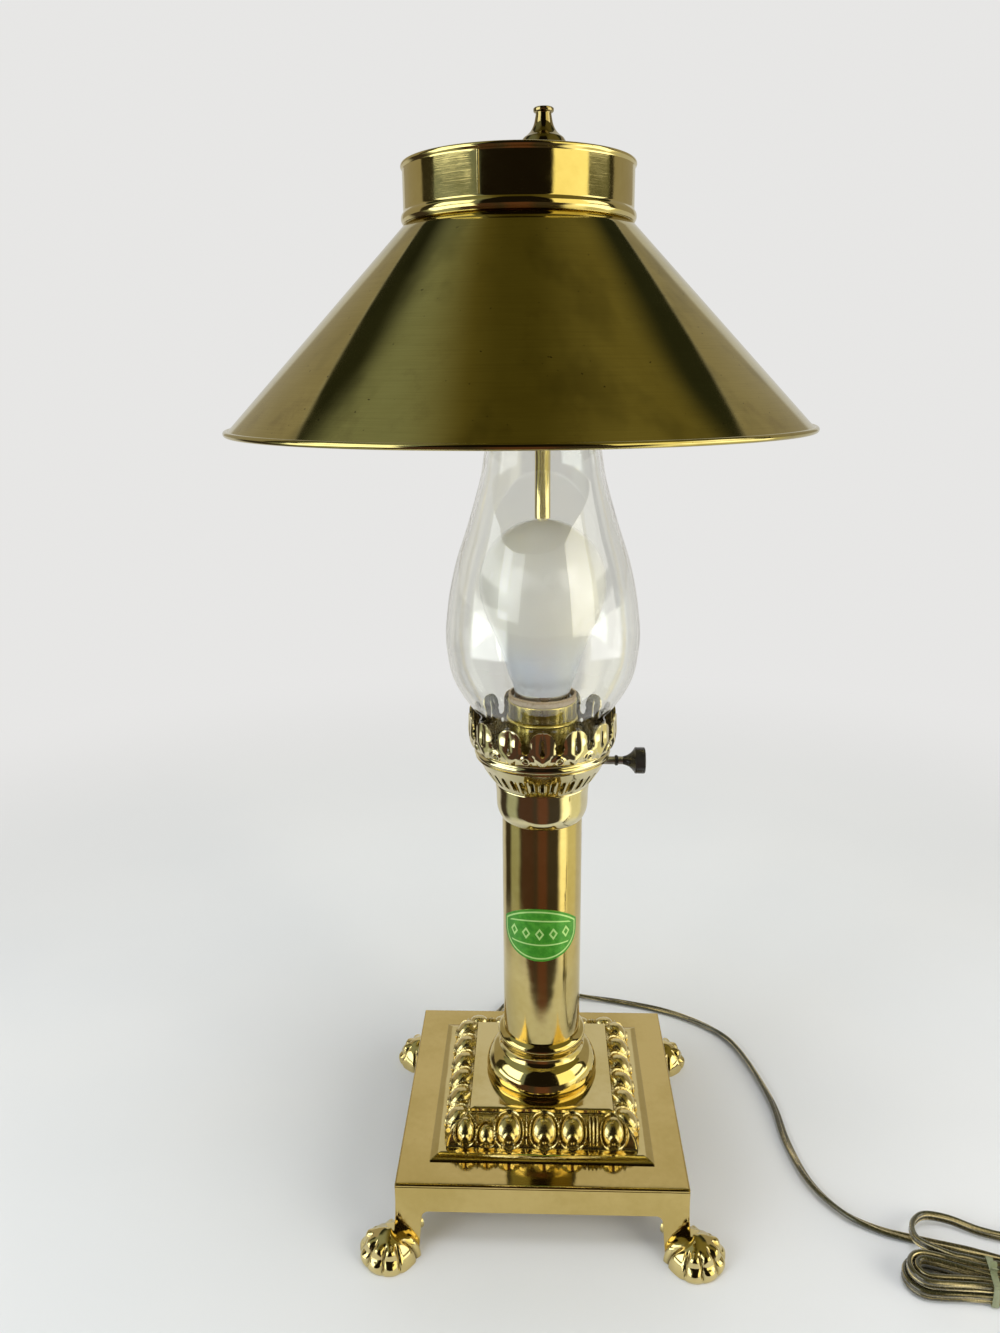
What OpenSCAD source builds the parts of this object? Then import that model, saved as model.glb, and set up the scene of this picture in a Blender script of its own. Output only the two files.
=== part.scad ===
// Brass table lamp in the style of an old railway carriage lamp: a square base on paw feet,
// a round column, a pierced burner gallery with a glass chimney, and a metal shade on a rod.
// Millimetres. Z is up, the origin is the centre of the base on the table, and the switch
// key points along +X. The shade rod stands behind the chimney, on the +Y side.

/* [Base] */
// Side of the square base
base_side = 142; // [130:1:165]
// Height of the base top above the table
base_h = 38; // [34:1:46]
// Thickness of the base's top plate
plate_t = 3.5; // [2.5:0.5:4.5]
// Depth of the apron below the base top
apron_h = 15.5; // [12:0.5:18]
// Wall thickness of the apron and the legs
apron_t = 4; // [3:0.5:5]
// Width of a leg seen from the front
leg_w = 13; // [11:0.5:16]
// How far a leg's outer edge leans out at the table
leg_flare = 2; // [0:0.5:3]
// Corner radius of the cut-out under the apron
cutout_r = 3; // [1:0.5:5]

/* [Paw feet] */
// Radius of a paw's footprint
paw_r = 16.5; // [14:0.5:19]
// Distance from the base's side out to a paw's centre
paw_out = 2; // [0:0.5:4]
// Radius of one toe
toe_r = 5.2; // [4:0.2:6]
// Number of toes on a paw
toe_count = 4; // [3:1:5]
// Diameter of a paw screw
paw_screw_d = 4; // [3:0.5:5]
// Length of a paw screw under its head
paw_screw_len = 22; // [18:0.5:24]

/* [Plinth] */
// Side of the plinth where it stands on the base
plinth_side = 111; // [100:1:125]
// Height of the plinth
plinth_h = 16; // [12:0.5:22]
// Width of the bevel along the plinth's edge
bevel_w = 4; // [2:0.5:6]
// Height of that bevel
bevel_h = 2; // [1:0.5:4]
// Flat margin between the bevel and the carved border
border_margin = 3.5; // [2:0.5:6]
// Side of the flat top
plateau_side = 72.6; // [66:0.2:80]
// Height of the flat top's edge above the carved border
plateau_edge = 1.4; // [0.6:0.2:2.4]
// Wall thickness of the plinth casting
plinth_t = 3.5; // [2.5:0.5:4.5]

/* [Column] */
// Widest diameter of the column's foot
foot_d = 58.6; // [54:0.2:64]
// Height of the column's foot
foot_h = 26; // [22:0.5:32]
// Diameter of the ring round the column's lower end
ring_d = 46; // [44:0.2:50]
// Outside diameter of the column tube
column_d = 40; // [36:0.5:42]
// Wall thickness of the column tube
column_wall = 1.2; // [0.8:0.1:2]
// Length of column that shows between the foot and the cup
column_show = 119.5; // [90:0.5:160]
// Depth of the column in its foot
column_in_foot = 8; // [5:0.5:12]
// Depth of the column in the cup
column_in_cup = 3; // [2:0.5:4]

/* [Label] */
// Width of the label, measured round the column
label_w = 43; // [30:1:50]
// Height of the label
label_h = 29; // [20:1:34]
// Height of the label's centre above the column's foot
label_up = 63.5; // [40:0.5:75]
// Thickness of the label
label_t = 0.25; // [0.15:0.05:0.5]

/* [Cup] */
// Widest diameter of the cup
cup_d = 46.6; // [45:0.2:50]
// Height of the cup
cup_h = 19.5; // [18:0.5:23]
// Wall thickness of the cup
cup_wall = 1.6; // [1.2:0.1:2]
// Thickness of the floor inside the cup
cup_floor = 1.6; // [1.2:0.2:2.4]

/* [Burner bowl] */
// Height of the slotted bowl
bowl_h = 15; // [13:0.5:18]
// Diameter of the bowl's top
bowl_top_d = 65.2; // [64:0.2:70]
// Thickness of the bowl's metal
bowl_wall = 1; // [0.8:0.1:1.4]
// Number of slots round the bowl
slot_count = 36; // [24:4:44]
// Width of a slot
slot_w = 1.4; // [1:0.1:2]
// Height of a slot
slot_h = 8.5; // [6:0.5:9.5]
// Height of the slots' lower ends above the cup
slot_up = 2.4; // [2.2:0.1:3.6]

/* [Gallery crown] */
// Height of the crown from its bead to the leaf tips
crown_h = 22; // [18:0.5:26]
// Widest diameter of the crown
crown_d = 71.4; // [69:0.2:76]
// Thickness of the crown's metal
crown_wall = 0.8; // [0.6:0.1:1.2]
// Number of leaves
leaf_count = 14; // [10:1:16]
// Height of the plain band under the leaves
band_h = 11.5; // [9:0.5:13]

/* [Socket and switch] */
// Outside diameter of the socket shell
socket_d = 33.6; // [32:0.2:36]
// Height of the socket shell
shell_h = 43.5; // [42:0.5:48]
// Wall thickness of the socket shell and cap
shell_wall = 0.8; // [0.6:0.1:1]
// Height of the socket cap
cap_h = 10.5; // [9.5:0.5:10.5]
// Height of the switch key's axis above the bottom of the socket shell
key_up = 8; // [7:0.5:9]
// Diameter of the switch shaft
shaft_d = 4; // [3:0.5:5]
// Diameter of the switch knob
knob_d = 13; // [10:0.5:16]
// Length of the switch knob
knob_len = 15; // [12:0.5:20]
// Length of the knob's thick grip
knob_grip = 9.6; // [7:0.2:12]
// Distance from the lamp's axis to the outer end of the knob
knob_reach = 50.6; // [49:0.2:58]

/* [Bulb] */
// Diameter of the bulb
bulb_d = 60; // [56:0.5:61]
// Height of the bulb's top above the socket rim
bulb_rise = 83.5; // [80:0.5:88]
// Diameter of the bulb's screw base
screw_d = 26.4; // [26:0.1:26.6]
// Length of the bulb's screw base
screw_len = 24; // [22:0.5:26]
// Thickness of the bulb's glass
bulb_glass_t = 0.8; // [0.5:0.1:1.2]

/* [Chimney] */
// Diameter of the chimney's foot
fitter_d = 63; // [61:0.1:63.2]
// Diameter of the chimney's belly
belly_d = 92.2; // [86:0.2:92.6]
// Height of the belly above the chimney's foot
belly_up = 60; // [54:0.5:66]
// Diameter of the chimney's mouth
mouth_d = 44.6; // [38:0.2:50]
// Height of the chimney
chimney_h = 214; // [190:1:216]
// Thickness of the chimney's glass
glass_t = 1.8; // [1.2:0.1:2.4]

/* [Shade rod] */
// Diameter of the rod
rod_d = 8.4; // [7:0.2:9]
// Distance of the rod's lower part behind the lamp's axis
rod_back = 51; // [51:0.1:55]
// Distance of the rod's upper part behind the lamp's axis
rod_in = 36; // [34:0.5:40]
// Radius of the two bends in the rod
rod_bend_r = 56; // [50:1:80]
// Height above the table where the rod starts to bend
rod_bend_z = 345; // [340:1:360]
// Diameter of the rod's threaded ends
stud_d = 6; // [5:0.5:7]
// Thickness of the arm that carries the rod
arm_t = 3; // [2:0.5:4]
// Width of that arm
arm_w = 14; // [12:0.5:16]

/* [Shade] */
// Diameter of the shade's rim
shade_d = 260; // [230:1:290]
// Height of the shade's cone
cone_h = 86; // [76:1:96]
// Diameter of the shade's collar
collar_d = 98.4; // [96:0.2:106]
// Height of the shade's collar
collar_h = 23.5; // [20:0.5:30]
// Thickness of the shade's sheet metal
sheet_t = 0.9; // [0.7:0.1:1.2]
// Radius of the rolled bead on the rim
rim_bead_r = 1.3; // [1:0.1:2]
// Height of the shade's rim above the table
rim_z = 388.3; // [384:0.1:396]
// Distance from the shade's centre to the hole in its cross-bar
spider_off = 38; // [36:0.5:39]
// Turn of the shade about the rod as it stands in the room
shade_turn = 16.4; // [0:0.2:30]
// Width of the cross-bar
spider_w = 12; // [11:0.5:18]
// Thickness of the cross-bar
spider_t = 1.8; // [1.4:0.1:2.4]
// Depth of the cross-bar's top below the collar's rim
spider_down = 4; // [3:0.5:8]

/* [Finial] */
// Height of the finial
finial_h = 34; // [28:0.5:40]
// Diameter of the finial's bell
bell_d = 24; // [20:0.5:28]
// Diameter of the finial's top disc
finial_top_d = 9.2; // [8:0.2:12]

/* [Pipe and fixings] */
// Outside diameter of the threaded pipe through the lamp
pipe_d = 9.6; // [9:0.1:10]
// Bore of that pipe
pipe_bore = 7.2; // [7:0.1:7.4]
// Width across the flats of the pipe nuts
pipe_nut_af = 15; // [14:0.5:17]
// Thickness of a pipe nut
pipe_nut_t = 3; // [2.5:0.5:3.5]

/* [Cord] */
// Width of the flat cord
cord_w = 5; // [4.6:0.1:5]
// Thickness of the flat cord
cord_t = 2.6; // [2.2:0.1:2.6]

/* [Hidden] */
$fn = 64;

brass = [0.78, 0.64, 0.30];
brass_pale = [0.86, 0.75, 0.42];
brass_olive = [0.52, 0.44, 0.20];
black = [0.06, 0.06, 0.06];
steel = [0.70, 0.70, 0.70];
clear_gold = [0.72, 0.62, 0.32];

// Clearances
eps = 0.01;
seat_gap = 0.05;
slip_gap = 0.1;
run_gap = 0.06;
loose_gap = 0.3;

// Heights above the table
z_plateau = base_h + plinth_h;
z_column = z_plateau + foot_h;
z_cup = z_column + column_show;
z_bowl = z_cup + cup_h;
z_crown = z_bowl + bowl_h;
z_shell = z_bowl + 2.3;
z_rim = z_shell + shell_h;
z_cap = z_shell - cap_h;
z_key = z_shell + key_up;
z_cone_top = rim_z + cone_h;
z_collar_top = z_cone_top + collar_h;
z_spider = z_collar_top - spider_down;
z_floor_cup = z_cup + column_in_cup + cup_floor;

half = base_side / 2;
z_apron = base_h - apron_h;
big = 2 * shade_d;

// Points of an arc about [cx, cy], in n steps
function arc(cx, cy, r, a0, a1, n) = [for (i = [0 : n])
    [cx + r * cos(a0 + (a1 - a0) * i / n), cy + r * sin(a0 + (a1 - a0) * i / n)]];

// One point of the smooth curve through p, u steps past point i
function hermite(a, b, c, d, u) = 0.5 * (2 * b + (c - a) * u
    + (2 * a - 5 * b + 4 * c - d) * u * u + (3 * b - a - 3 * c + d) * u * u * u);
function at(p, i) = p[max(0, min(len(p) - 1, i))];
function curve(p, n) = concat([for (i = [0 : len(p) - 2], k = [0 : n - 1])
    hermite(at(p, i - 1), p[i], p[i + 1], at(p, i + 2), k / n)], [p[len(p) - 1]]);
function shift_r(p, dr) = [for (q = p) [q[0] + dr, q[1]]];
function back(p) = [for (i = [len(p) - 1 : -1 : 0]) p[i]];

// A turned shell: the outline p from bottom to top, with a wall of thickness t inside it
module turned_shell(p, t) {
    rotate_extrude() polygon(concat(p, back(shift_r(p, -t))));
}

module hexagon(af, t) {
    cylinder(d = af / cos(30), h = t, $fn = 6);
}

module hex_nut(af, t, bore) {
    difference() {
        hexagon(af, t);
        translate([0, 0, -eps]) cylinder(d = bore, h = t + 2 * eps);
    }
}

// A square block of the profile p, seen alike from the front and from the side
module square_turned(p) {
    intersection() {
        rotate([90, 0, 0]) linear_extrude(big, center = true) polygon(p);
        rotate([90, 0, 90]) linear_extrude(big, center = true) polygon(p);
    }
}

// Base casting
function mirrored(p) = concat(p, [for (q = back(p)) [-q[0], q[1]]]);
function post_edge(grow) = [[half + grow, base_h], [half + grow, z_apron],
    [half + leg_flare + grow, 0]];
function cutout_edge() = concat([[half + leg_flare - leg_w, 0]],
    arc(half - leg_w - cutout_r, z_apron - cutout_r, cutout_r, 0, 90, 6));
screw_z = paw_r * 0.5;
screw_hole_d = paw_screw_d + 2 * slip_gap;

// A screw's line through a leg's corner, running out along the diagonal
module on_diagonal(r) {
    rotate([0, 0, 45]) translate([r, 0, screw_z]) rotate([0, 90, 0]) children();
}

screw_seat = (half - apron_t) * sqrt(2) - 1.5 * paw_screw_d;
screw_head_t = 0.6 * paw_screw_d;
cavity_h = base_h - plate_t;

module base_frame() {
    color(brass) difference() {
        square_turned(mirrored(concat(post_edge(0), cutout_edge())));
        intersection() {
            translate([0, 0, cavity_h / 2 - 1])
                cube([base_side - 2 * apron_t, base_side - 2 * apron_t, cavity_h + 2], center = true);
            rotate([0, 0, 45]) translate([0, 0, cavity_h / 2 - 1])
                cube([2 * screw_seat, 2 * screw_seat, cavity_h + 2], center = true);
        }
        translate([0, 0, base_h - plate_t - 1]) cylinder(d = pipe_d + 2 * loose_gap, h = plate_t + 2);
        for (a = [0 : 90 : 270]) rotate([0, 0, a])
            on_diagonal(screw_seat - 1) cylinder(d = screw_hole_d, h = 30);
    }
}

// One paw on the +X +Y corner: a domed foot with toes, cut flat on the table
module paw() {
    centre = half + paw_out;
    difference() {
        intersection() {
            translate([centre, centre, 0]) union() {
                sphere(r = paw_r - 1.4);
                for (i = [0 : toe_count - 1])
                    rotate([0, 0, 45 + (i - (toe_count - 1) / 2) * 33])
                        translate([paw_r - toe_r, 0, toe_r - 0.8]) sphere(r = toe_r);
            }
            cube([big, big, 2 * paw_r]);
        }
        square_turned(mirrored([[half + seat_gap, base_h], [half + seat_gap, z_apron],
            [half + leg_flare + seat_gap, 0], [half + leg_flare + seat_gap, -1]]));
        on_diagonal(screw_seat) cylinder(d = screw_hole_d, h = paw_screw_len + 0.5);
    }
}

module paw_front_left() {
    color(brass) mirror([1, 0, 0]) mirror([0, 1, 0]) paw();
}

module paw_front_right() {
    color(brass) mirror([0, 1, 0]) paw();
}

module paw_back_left() {
    color(brass) mirror([1, 0, 0]) paw();
}

module paw_back_right() {
    color(brass) paw();
}

module paw_screws() {
    color(steel) for (a = [0 : 90 : 270]) rotate([0, 0, a])
        on_diagonal(screw_seat - screw_head_t) {
            cylinder(d = 2 * paw_screw_d, h = screw_head_t);
            cylinder(d = paw_screw_d, h = screw_head_t + paw_screw_len);
        }
}

// Plinth casting with an ovolo border
border_out = plinth_side / 2 - bevel_w - border_margin;
plateau_half = plateau_side / 2;
ovolo_h = plinth_h - bevel_h - plateau_edge;

module plinth() {
    outline = concat([[plinth_side / 2, 0], [plinth_side / 2 - bevel_w, bevel_h]],
        [for (t = [0 : 11.25 : 90]) [plateau_half + (border_out - plateau_half) * cos(t),
            bevel_h + ovolo_h * sin(t)]],
        [[plateau_half, plinth_h]]);
    low = border_out - plinth_t - 1;
    high = plateau_half - plinth_t;
    color(brass) translate([0, 0, base_h]) difference() {
        square_turned(mirrored(outline));
        square_turned(mirrored([[low, -1], [low, bevel_h], [high, plinth_h - plinth_t - plateau_edge],
            [high, plinth_h - plinth_t]]));
        translate([0, 0, plinth_h / 2]) cylinder(d = pipe_d + 2 * loose_gap, h = plinth_h);
    }
}

// Column and its foot
ring_r = ring_d / 2;
foot_r = foot_d / 2;

module column_foot() {
    outline = concat(
        curve([[foot_r - 1.2, 0], [foot_r - 0.2, 1.4], [foot_r, 3.6], [foot_r - 1.2, 8],
            [foot_r - 3.7, 12], [ring_r, foot_h - 12]], 3),
        curve([[ring_r - 0.6, foot_h - 11.6], [ring_r - 1.5, foot_h - 8.6],
            [ring_r - 1.1, foot_h - 5.6]], 3),
        curve([[ring_r - 0.7, foot_h - 5.2], [ring_r, foot_h - 3.4], [ring_r - 0.6, foot_h - 1.6],
            [ring_r - 2.4, foot_h]], 3));
    color(brass) translate([0, 0, z_plateau]) difference() {
        rotate_extrude() polygon(concat([[0, 0]], outline, [[0, foot_h]]));
        translate([0, 0, foot_h - column_in_foot])
            cylinder(d = column_d + 2 * seat_gap, h = column_in_foot + 1);
        translate([0, 0, 4]) cylinder(d = column_d - 8, h = foot_h);
        translate([0, 0, -1]) cylinder(d = pipe_d + 2 * loose_gap, h = 6);
    }
}

module column_tube() {
    low = z_column - column_in_foot;
    len = column_in_foot + column_show + column_in_cup;
    color(brass) translate([0, 0, low]) difference() {
        cylinder(d = column_d, h = len, $fn = 96);
        translate([0, 0, -1]) cylinder(d = column_d - 2 * column_wall, h = len + 2, $fn = 96);
    }
}

// Label wrapped on the front of the column: a plain rectangle with round corners
module round_rect(w, h, r) {
    square([w - 2 * r, h], center = true);
    square([w, h - 2 * r], center = true);
    for (x = [-1, 1], y = [-1, 1]) translate([x * (w / 2 - r), y * (h / 2 - r)]) circle(r = r);
}

module column_label() {
    inner = column_d / 2 + seat_gap;
    chord = column_d * sin(label_w / (PI * column_d) * 180);
    color([0.16, 0.50, 0.24]) translate([0, 0, z_column + label_up]) intersection() {
        difference() {
            cylinder(r = inner + label_t, h = label_h, center = true, $fn = 96);
            cylinder(r = inner, h = label_h + 2, center = true, $fn = 96);
        }
        rotate([90, 0, 0]) linear_extrude(column_d) round_rect(chord, label_h, 7);
    }
}

// Cup under the burner: it sits on the column and carries the bowl
cup_r = cup_d / 2;
arm_z = z_floor_cup;
slot_in = cup_r - cup_wall - 1.2;

module cup() {
    outline = concat(arc(cup_r - 3.4, 3.4, 3.2, -70, -10, 4), [[cup_r, 6], [cup_r, cup_h]]);
    color(brass) difference() {
        translate([0, 0, z_cup]) rotate_extrude() polygon(concat([[0, 0.2]], outline, [[0, cup_h]]));
        translate([0, 0, z_cup - 1]) cylinder(d = column_d + 2 * seat_gap, h = column_in_cup + 1);
        translate([0, 0, z_floor_cup]) cylinder(r = cup_r - cup_wall, h = cup_h);
        translate([0, 0, z_cup]) cylinder(d = pipe_d + 2 * loose_gap, h = 10);
        translate([-arm_w / 2 - loose_gap, slot_in - 3.5, arm_z])
            cube([arm_w + 2 * loose_gap, 10, arm_t + loose_gap]);
    }
}

// Slotted burner bowl with a flat ledge on which the chimney stands
bowl_r = bowl_top_d / 2;

module bowl_slot(a) {
    rotate([0, 0, a]) translate([cup_r - 3, -slot_w / 2, slot_up])
        cube([bowl_r - cup_r + 5, slot_w, slot_h]);
}

module burner_bowl() {
    outline = curve([[cup_r, 0], [cup_r + 1.3, 2], [cup_r + 4.3, bowl_h * 0.45],
        [bowl_r - 2.5, bowl_h * 0.7], [bowl_r, bowl_h]], 3);
    color(brass) translate([0, 0, z_bowl]) difference() {
        union() {
            turned_shell(outline, bowl_wall * 1.4);
            rotate_extrude() translate([socket_d / 2 + 4.5, 0])
                square([cup_r - socket_d / 2 - 4.5, bowl_wall]);
            rotate_extrude() translate([bowl_r - 4, bowl_h - bowl_wall])
                square([4, bowl_wall]);
        }
        for (i = [0 : slot_count - 1])
            if (i != 0) bowl_slot(i * 360 / slot_count);
        translate([cup_r, 0, z_key - z_bowl]) rotate([0, 90, 0])
            cylinder(d = shaft_d + 2 * loose_gap + 2, h = bowl_r);
    }
}

// Gallery crown: a bead, a band with small holes, and a row of pierced leaves
crown_r = crown_d / 2;
bead_r = bowl_r + 0.7;
leaf_pitch = 360 / leaf_count;
leaf_w = PI * crown_d / leaf_count;
gap_r = leaf_w / 8;
leaf_slot_r = leaf_w / 13;
leaf_slot_h = crown_h - band_h - 3;

// What is cut away between two leaves, in the flat
module leaf_gap() {
    h = crown_h - band_h;
    w = leaf_w / 2;
    translate([0, gap_r]) circle(r = gap_r, $fn = 24);
    right = [[gap_r, gap_r], [gap_r * 0.8, h * 0.36], [gap_r * 1.05, h * 0.56], [w * 0.42, h * 0.76],
        [w * 0.7, h * 0.91], [w, h * 1.02], [w, h + 2]];
    polygon(mirrored(right));
}

module leaf_slot() {
    translate([-leaf_slot_r, 0]) square([2 * leaf_slot_r, leaf_slot_h]);
    translate([0, leaf_slot_h]) circle(r = leaf_slot_r, $fn = 24);
    circle(r = leaf_slot_r, $fn = 24);
}

module radial_cut(a, z) {
    rotate([0, 0, a]) translate([bowl_r - 6, 0, z]) rotate([90, 0, 90]) linear_extrude(12) children();
}

module gallery_crown() {
    wall = concat([[bead_r - 0.6, 0], [bead_r - 0.1, 0.7], [bead_r, 1.6], [bead_r - 0.1, 2.5],
        [bead_r - 0.6, 3.2]], curve([[bead_r - 0.4, 3.9], [crown_r - 1.3, 5.4], [crown_r, 9.5],
        [crown_r - 0.1, 16], [crown_r - 0.8, crown_h]], 2));
    color(brass) translate([0, 0, z_crown]) difference() {
        turned_shell(wall, crown_wall);
        for (i = [0 : leaf_count - 1]) {
            radial_cut(-90 + (i + 0.5) * leaf_pitch, band_h) leaf_gap();
            radial_cut(-90 + i * leaf_pitch, band_h - 1) leaf_slot();
            radial_cut(-90 + (i + 0.5) * leaf_pitch, band_h - 4) circle(r = 1.2, $fn = 20);
        }
    }
}

// Threaded pipe that holds the stack together, from under the base up to the socket cap
washer_t = 1;
z_pipe_low = base_h - plate_t - washer_t - pipe_nut_t - 1.5;
z_pipe_high = z_cap + 5;
thread_gap = 0.05;

module centre_pipe() {
    color(steel) translate([0, 0, z_pipe_low]) difference() {
        cylinder(d = pipe_d, h = z_pipe_high - z_pipe_low);
        translate([0, 0, -1]) cylinder(d = pipe_bore, h = z_pipe_high - z_pipe_low + 2);
    }
}

module base_washer() {
    color(steel) translate([0, 0, base_h - plate_t - washer_t]) difference() {
        cylinder(d = pipe_nut_af * 1.7, h = washer_t);
        translate([0, 0, -1]) cylinder(d = pipe_d + 2 * thread_gap, h = washer_t + 2);
    }
}

module base_nut() {
    color(brass) translate([0, 0, base_h - plate_t - washer_t - pipe_nut_t])
        hex_nut(pipe_nut_af, pipe_nut_t, pipe_d + 2 * thread_gap);
}

module cup_nut() {
    color(brass) translate([0, 0, arm_z + arm_t])
        hex_nut(pipe_nut_af, pipe_nut_t, pipe_d + 2 * thread_gap);
}

// Plastic bushing in the pipe's lower end, where the cord comes out
bushing_bore = cord_w + 0.6;
bushing_t = 1.2;

module cord_bushing() {
    color(black) translate([0, 0, z_pipe_low]) difference() {
        union() {
            translate([0, 0, -bushing_t]) cylinder(d = pipe_d + 1.5, h = bushing_t);
            cylinder(d = pipe_bore - 2 * seat_gap, h = 6);
        }
        translate([0, 0, -2]) cylinder(d = bushing_bore, h = 12);
    }
}

// The part of the flat cord that runs up inside the pipe to the socket
z_exit = z_pipe_low - bushing_t;

module flat_section(w, t) {
    for (s = [-1, 1]) translate([s * (w - t) / 2, 0]) circle(d = t, $fn = 24);
    square([w - t, t * 0.6], center = true);
}

module inner_lead() {
    color(clear_gold) translate([0, 0, z_exit]) linear_extrude(z_block + 3 - z_exit)
        flat_section(cord_w, cord_t);
}

// Arm on the pipe inside the cup, which reaches back through the cup's wall to the rod
module rod_arm() {
    color(brass) translate([0, 0, arm_z]) linear_extrude(arm_t) difference() {
        union() {
            translate([-arm_w / 2, 0]) square([arm_w, rod_back]);
            translate([0, rod_back]) circle(d = arm_w);
            circle(d = pipe_nut_af + 2);
        }
        circle(d = pipe_d + 2 * thread_gap);
        translate([0, rod_back]) circle(d = stud_d + 2 * thread_gap);
    }
}

rod_nut_t = 0.8 * stud_d;

module rod_nut() {
    color(brass) translate([0, rod_back, arm_z - rod_nut_t])
        hex_nut(stud_d * 1.7, rod_nut_t, stud_d + 2 * thread_gap);
}

// Shade rod: straight behind the chimney, then an easy double bend towards the axis
bend_a = acos(1 - (rod_back - rod_in) / (2 * rod_bend_r));
z_bend_top = rod_bend_z + 2 * rod_bend_r * sin(bend_a);
z_rod_low = arm_z + arm_t;
shade_nut_t = 4;
z_rod_high = z_spider - spider_t - shade_nut_t;
finial_bore = 0.4 * finial_h;
stud_low = arm_t + rod_nut_t + 1.5;

module shade_rod() {
    color(brass_pale) {
        translate([0, rod_back, z_rod_low - stud_low]) cylinder(d = stud_d, h = stud_low + 1);
        translate([0, rod_back, z_rod_low]) cylinder(d = rod_d, h = rod_bend_z - z_rod_low);
        translate([0, rod_back - rod_bend_r, rod_bend_z]) rotate([90, 0, 90])
            rotate_extrude(angle = bend_a) translate([rod_bend_r, 0]) circle(d = rod_d);
        translate([0, rod_in + rod_bend_r, z_bend_top]) rotate([90, 0, 90]) rotate([0, 0, 180])
            rotate_extrude(angle = bend_a) translate([rod_bend_r, 0]) circle(d = rod_d);
        translate([0, rod_in, z_bend_top]) cylinder(d = rod_d, h = z_rod_high - z_bend_top);
        translate([0, rod_in, z_rod_high - 1])
            cylinder(d = stud_d, h = 1 + shade_nut_t + spider_t + finial_bore);
    }
}

// Lamp socket: cap, shell with a bead, card liner, switch block and screw thread
socket_r = socket_d / 2;
shell_in = socket_r - shell_wall;
liner_t = 0.7;

module socket_cap() {
    outline = concat([[9, 0]], curve([[10.4, 0.8], [13.6, cap_h * 0.38],
        [socket_r - 0.5, cap_h * 0.72], [socket_r, cap_h - 0.9]], 3), [[socket_r, cap_h - 0.1]]);
    color(brass_pale) translate([0, 0, z_cap]) difference() {
        rotate_extrude() polygon(concat([[0, 0]], outline, [[0, cap_h - 0.1]]));
        translate([0, 0, 3]) cylinder(r1 = 8, r2 = socket_r - 2, h = cap_h - 5);
        translate([0, 0, cap_h - 2 - eps]) cylinder(r = socket_r - 2, h = cap_h);
        translate([0, 0, -1]) cylinder(d = pipe_d + 2 * thread_gap, h = cap_h);
    }
}

module socket_shell() {
    z_bead = shell_h - 12.5;
    outline = concat([[socket_r, 0], [socket_r, z_bead - 1]],
        arc(socket_r - 0.2, z_bead, 1, -80, 80, 6),
        [[socket_r, z_bead + 1], [socket_r, shell_h - 1.4]],
        arc(socket_r - 0.4, shell_h - 0.8, 0.8, -60, 90, 5));
    color(brass_pale) translate([0, 0, z_shell]) difference() {
        rotate_extrude($fn = 96) polygon(concat(outline, [[shell_in, shell_h], [shell_in, 0]]));
        translate([0, 0, key_up]) rotate([0, 90, 0]) cylinder(d = shaft_d + 2 * loose_gap, h = socket_d);
    }
}

module socket_liner() {
    color([0.55, 0.42, 0.28]) translate([0, 0, z_shell + 0.5]) difference() {
        cylinder(r = shell_in - slip_gap, h = shell_h - 2);
        translate([0, 0, -1]) cylinder(r = shell_in - slip_gap - liner_t, h = shell_h + 2);
        translate([0, 0, key_up - 0.5]) rotate([0, 90, 0])
            cylinder(d = shaft_d + 2 * loose_gap, h = socket_d);
    }
}

block_r = shell_in - slip_gap - liner_t - slip_gap;
block_h = 14;
thread_in = screw_d / 2 + 0.25;
z_block = z_shell + 0.5;

module switch_block() {
    color([0.30, 0.20, 0.14]) translate([0, 0, z_block]) difference() {
        cylinder(r = block_r, h = block_h - 0.5);
        translate([0, 0, key_up - 0.5]) rotate([0, 90, 0])
            cylinder(d = shaft_d + 2 * run_gap, h = socket_d);
        for (s = [-1, 1]) translate([0, s * block_r, 5]) rotate([s * 90, 0, 0])
            translate([0, 0, -4]) cylinder(d = 3 + 2 * slip_gap, h = 8);
        for (s = [-1, 1]) translate([-4, s > 0 ? block_r - 2.5 : -block_r - 2.5, 1]) cube([8, 5, 8]);
        translate([0, 0, -1]) cylinder(d = pipe_d + 1, h = 5);
    }
}

module socket_thread() {
    color([0.80, 0.74, 0.55]) translate([0, 0, z_block + block_h - 0.5]) difference() {
        cylinder(r = thread_in + 0.6, h = z_rim - 2 - z_contact);
        translate([0, 0, 0.8]) cylinder(r = thread_in, h = z_rim - z_contact);
        translate([0, 0, -1]) cylinder(r = 7, h = 4);
    }
}

z_contact = z_block + block_h - 0.5;
z_tip = z_rim - screw_len - 1.5;

module contact_spring() {
    color(brass) translate([0, 0, z_contact]) {
        translate([-3, -3, 0]) cube([6, 6, 0.6]);
        translate([-3, 1, 0]) cube([0.6, 2, z_tip - z_contact - loose_gap]);
        translate([-3, -3, z_tip - z_contact - loose_gap - 0.6]) cube([6, 6, 0.6]);
    }
}

module terminal_screws() {
    color(brass) for (s = [-1, 1]) translate([0, 0, z_block + 5]) rotate([s * -90, 0, 0]) {
        translate([0, 0, block_r - 3.5]) cylinder(d = 3, h = 2);
        translate([0, 0, block_r - 2.4]) cylinder(d = 5.5, h = 1.6);
    }
}

module switch_shaft() {
    shaft_end = knob_reach - knob_len * 0.5;
    color(steel) translate([2, 0, z_key]) rotate([0, 90, 0]) cylinder(d = shaft_d, h = shaft_end - 2);
}

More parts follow.
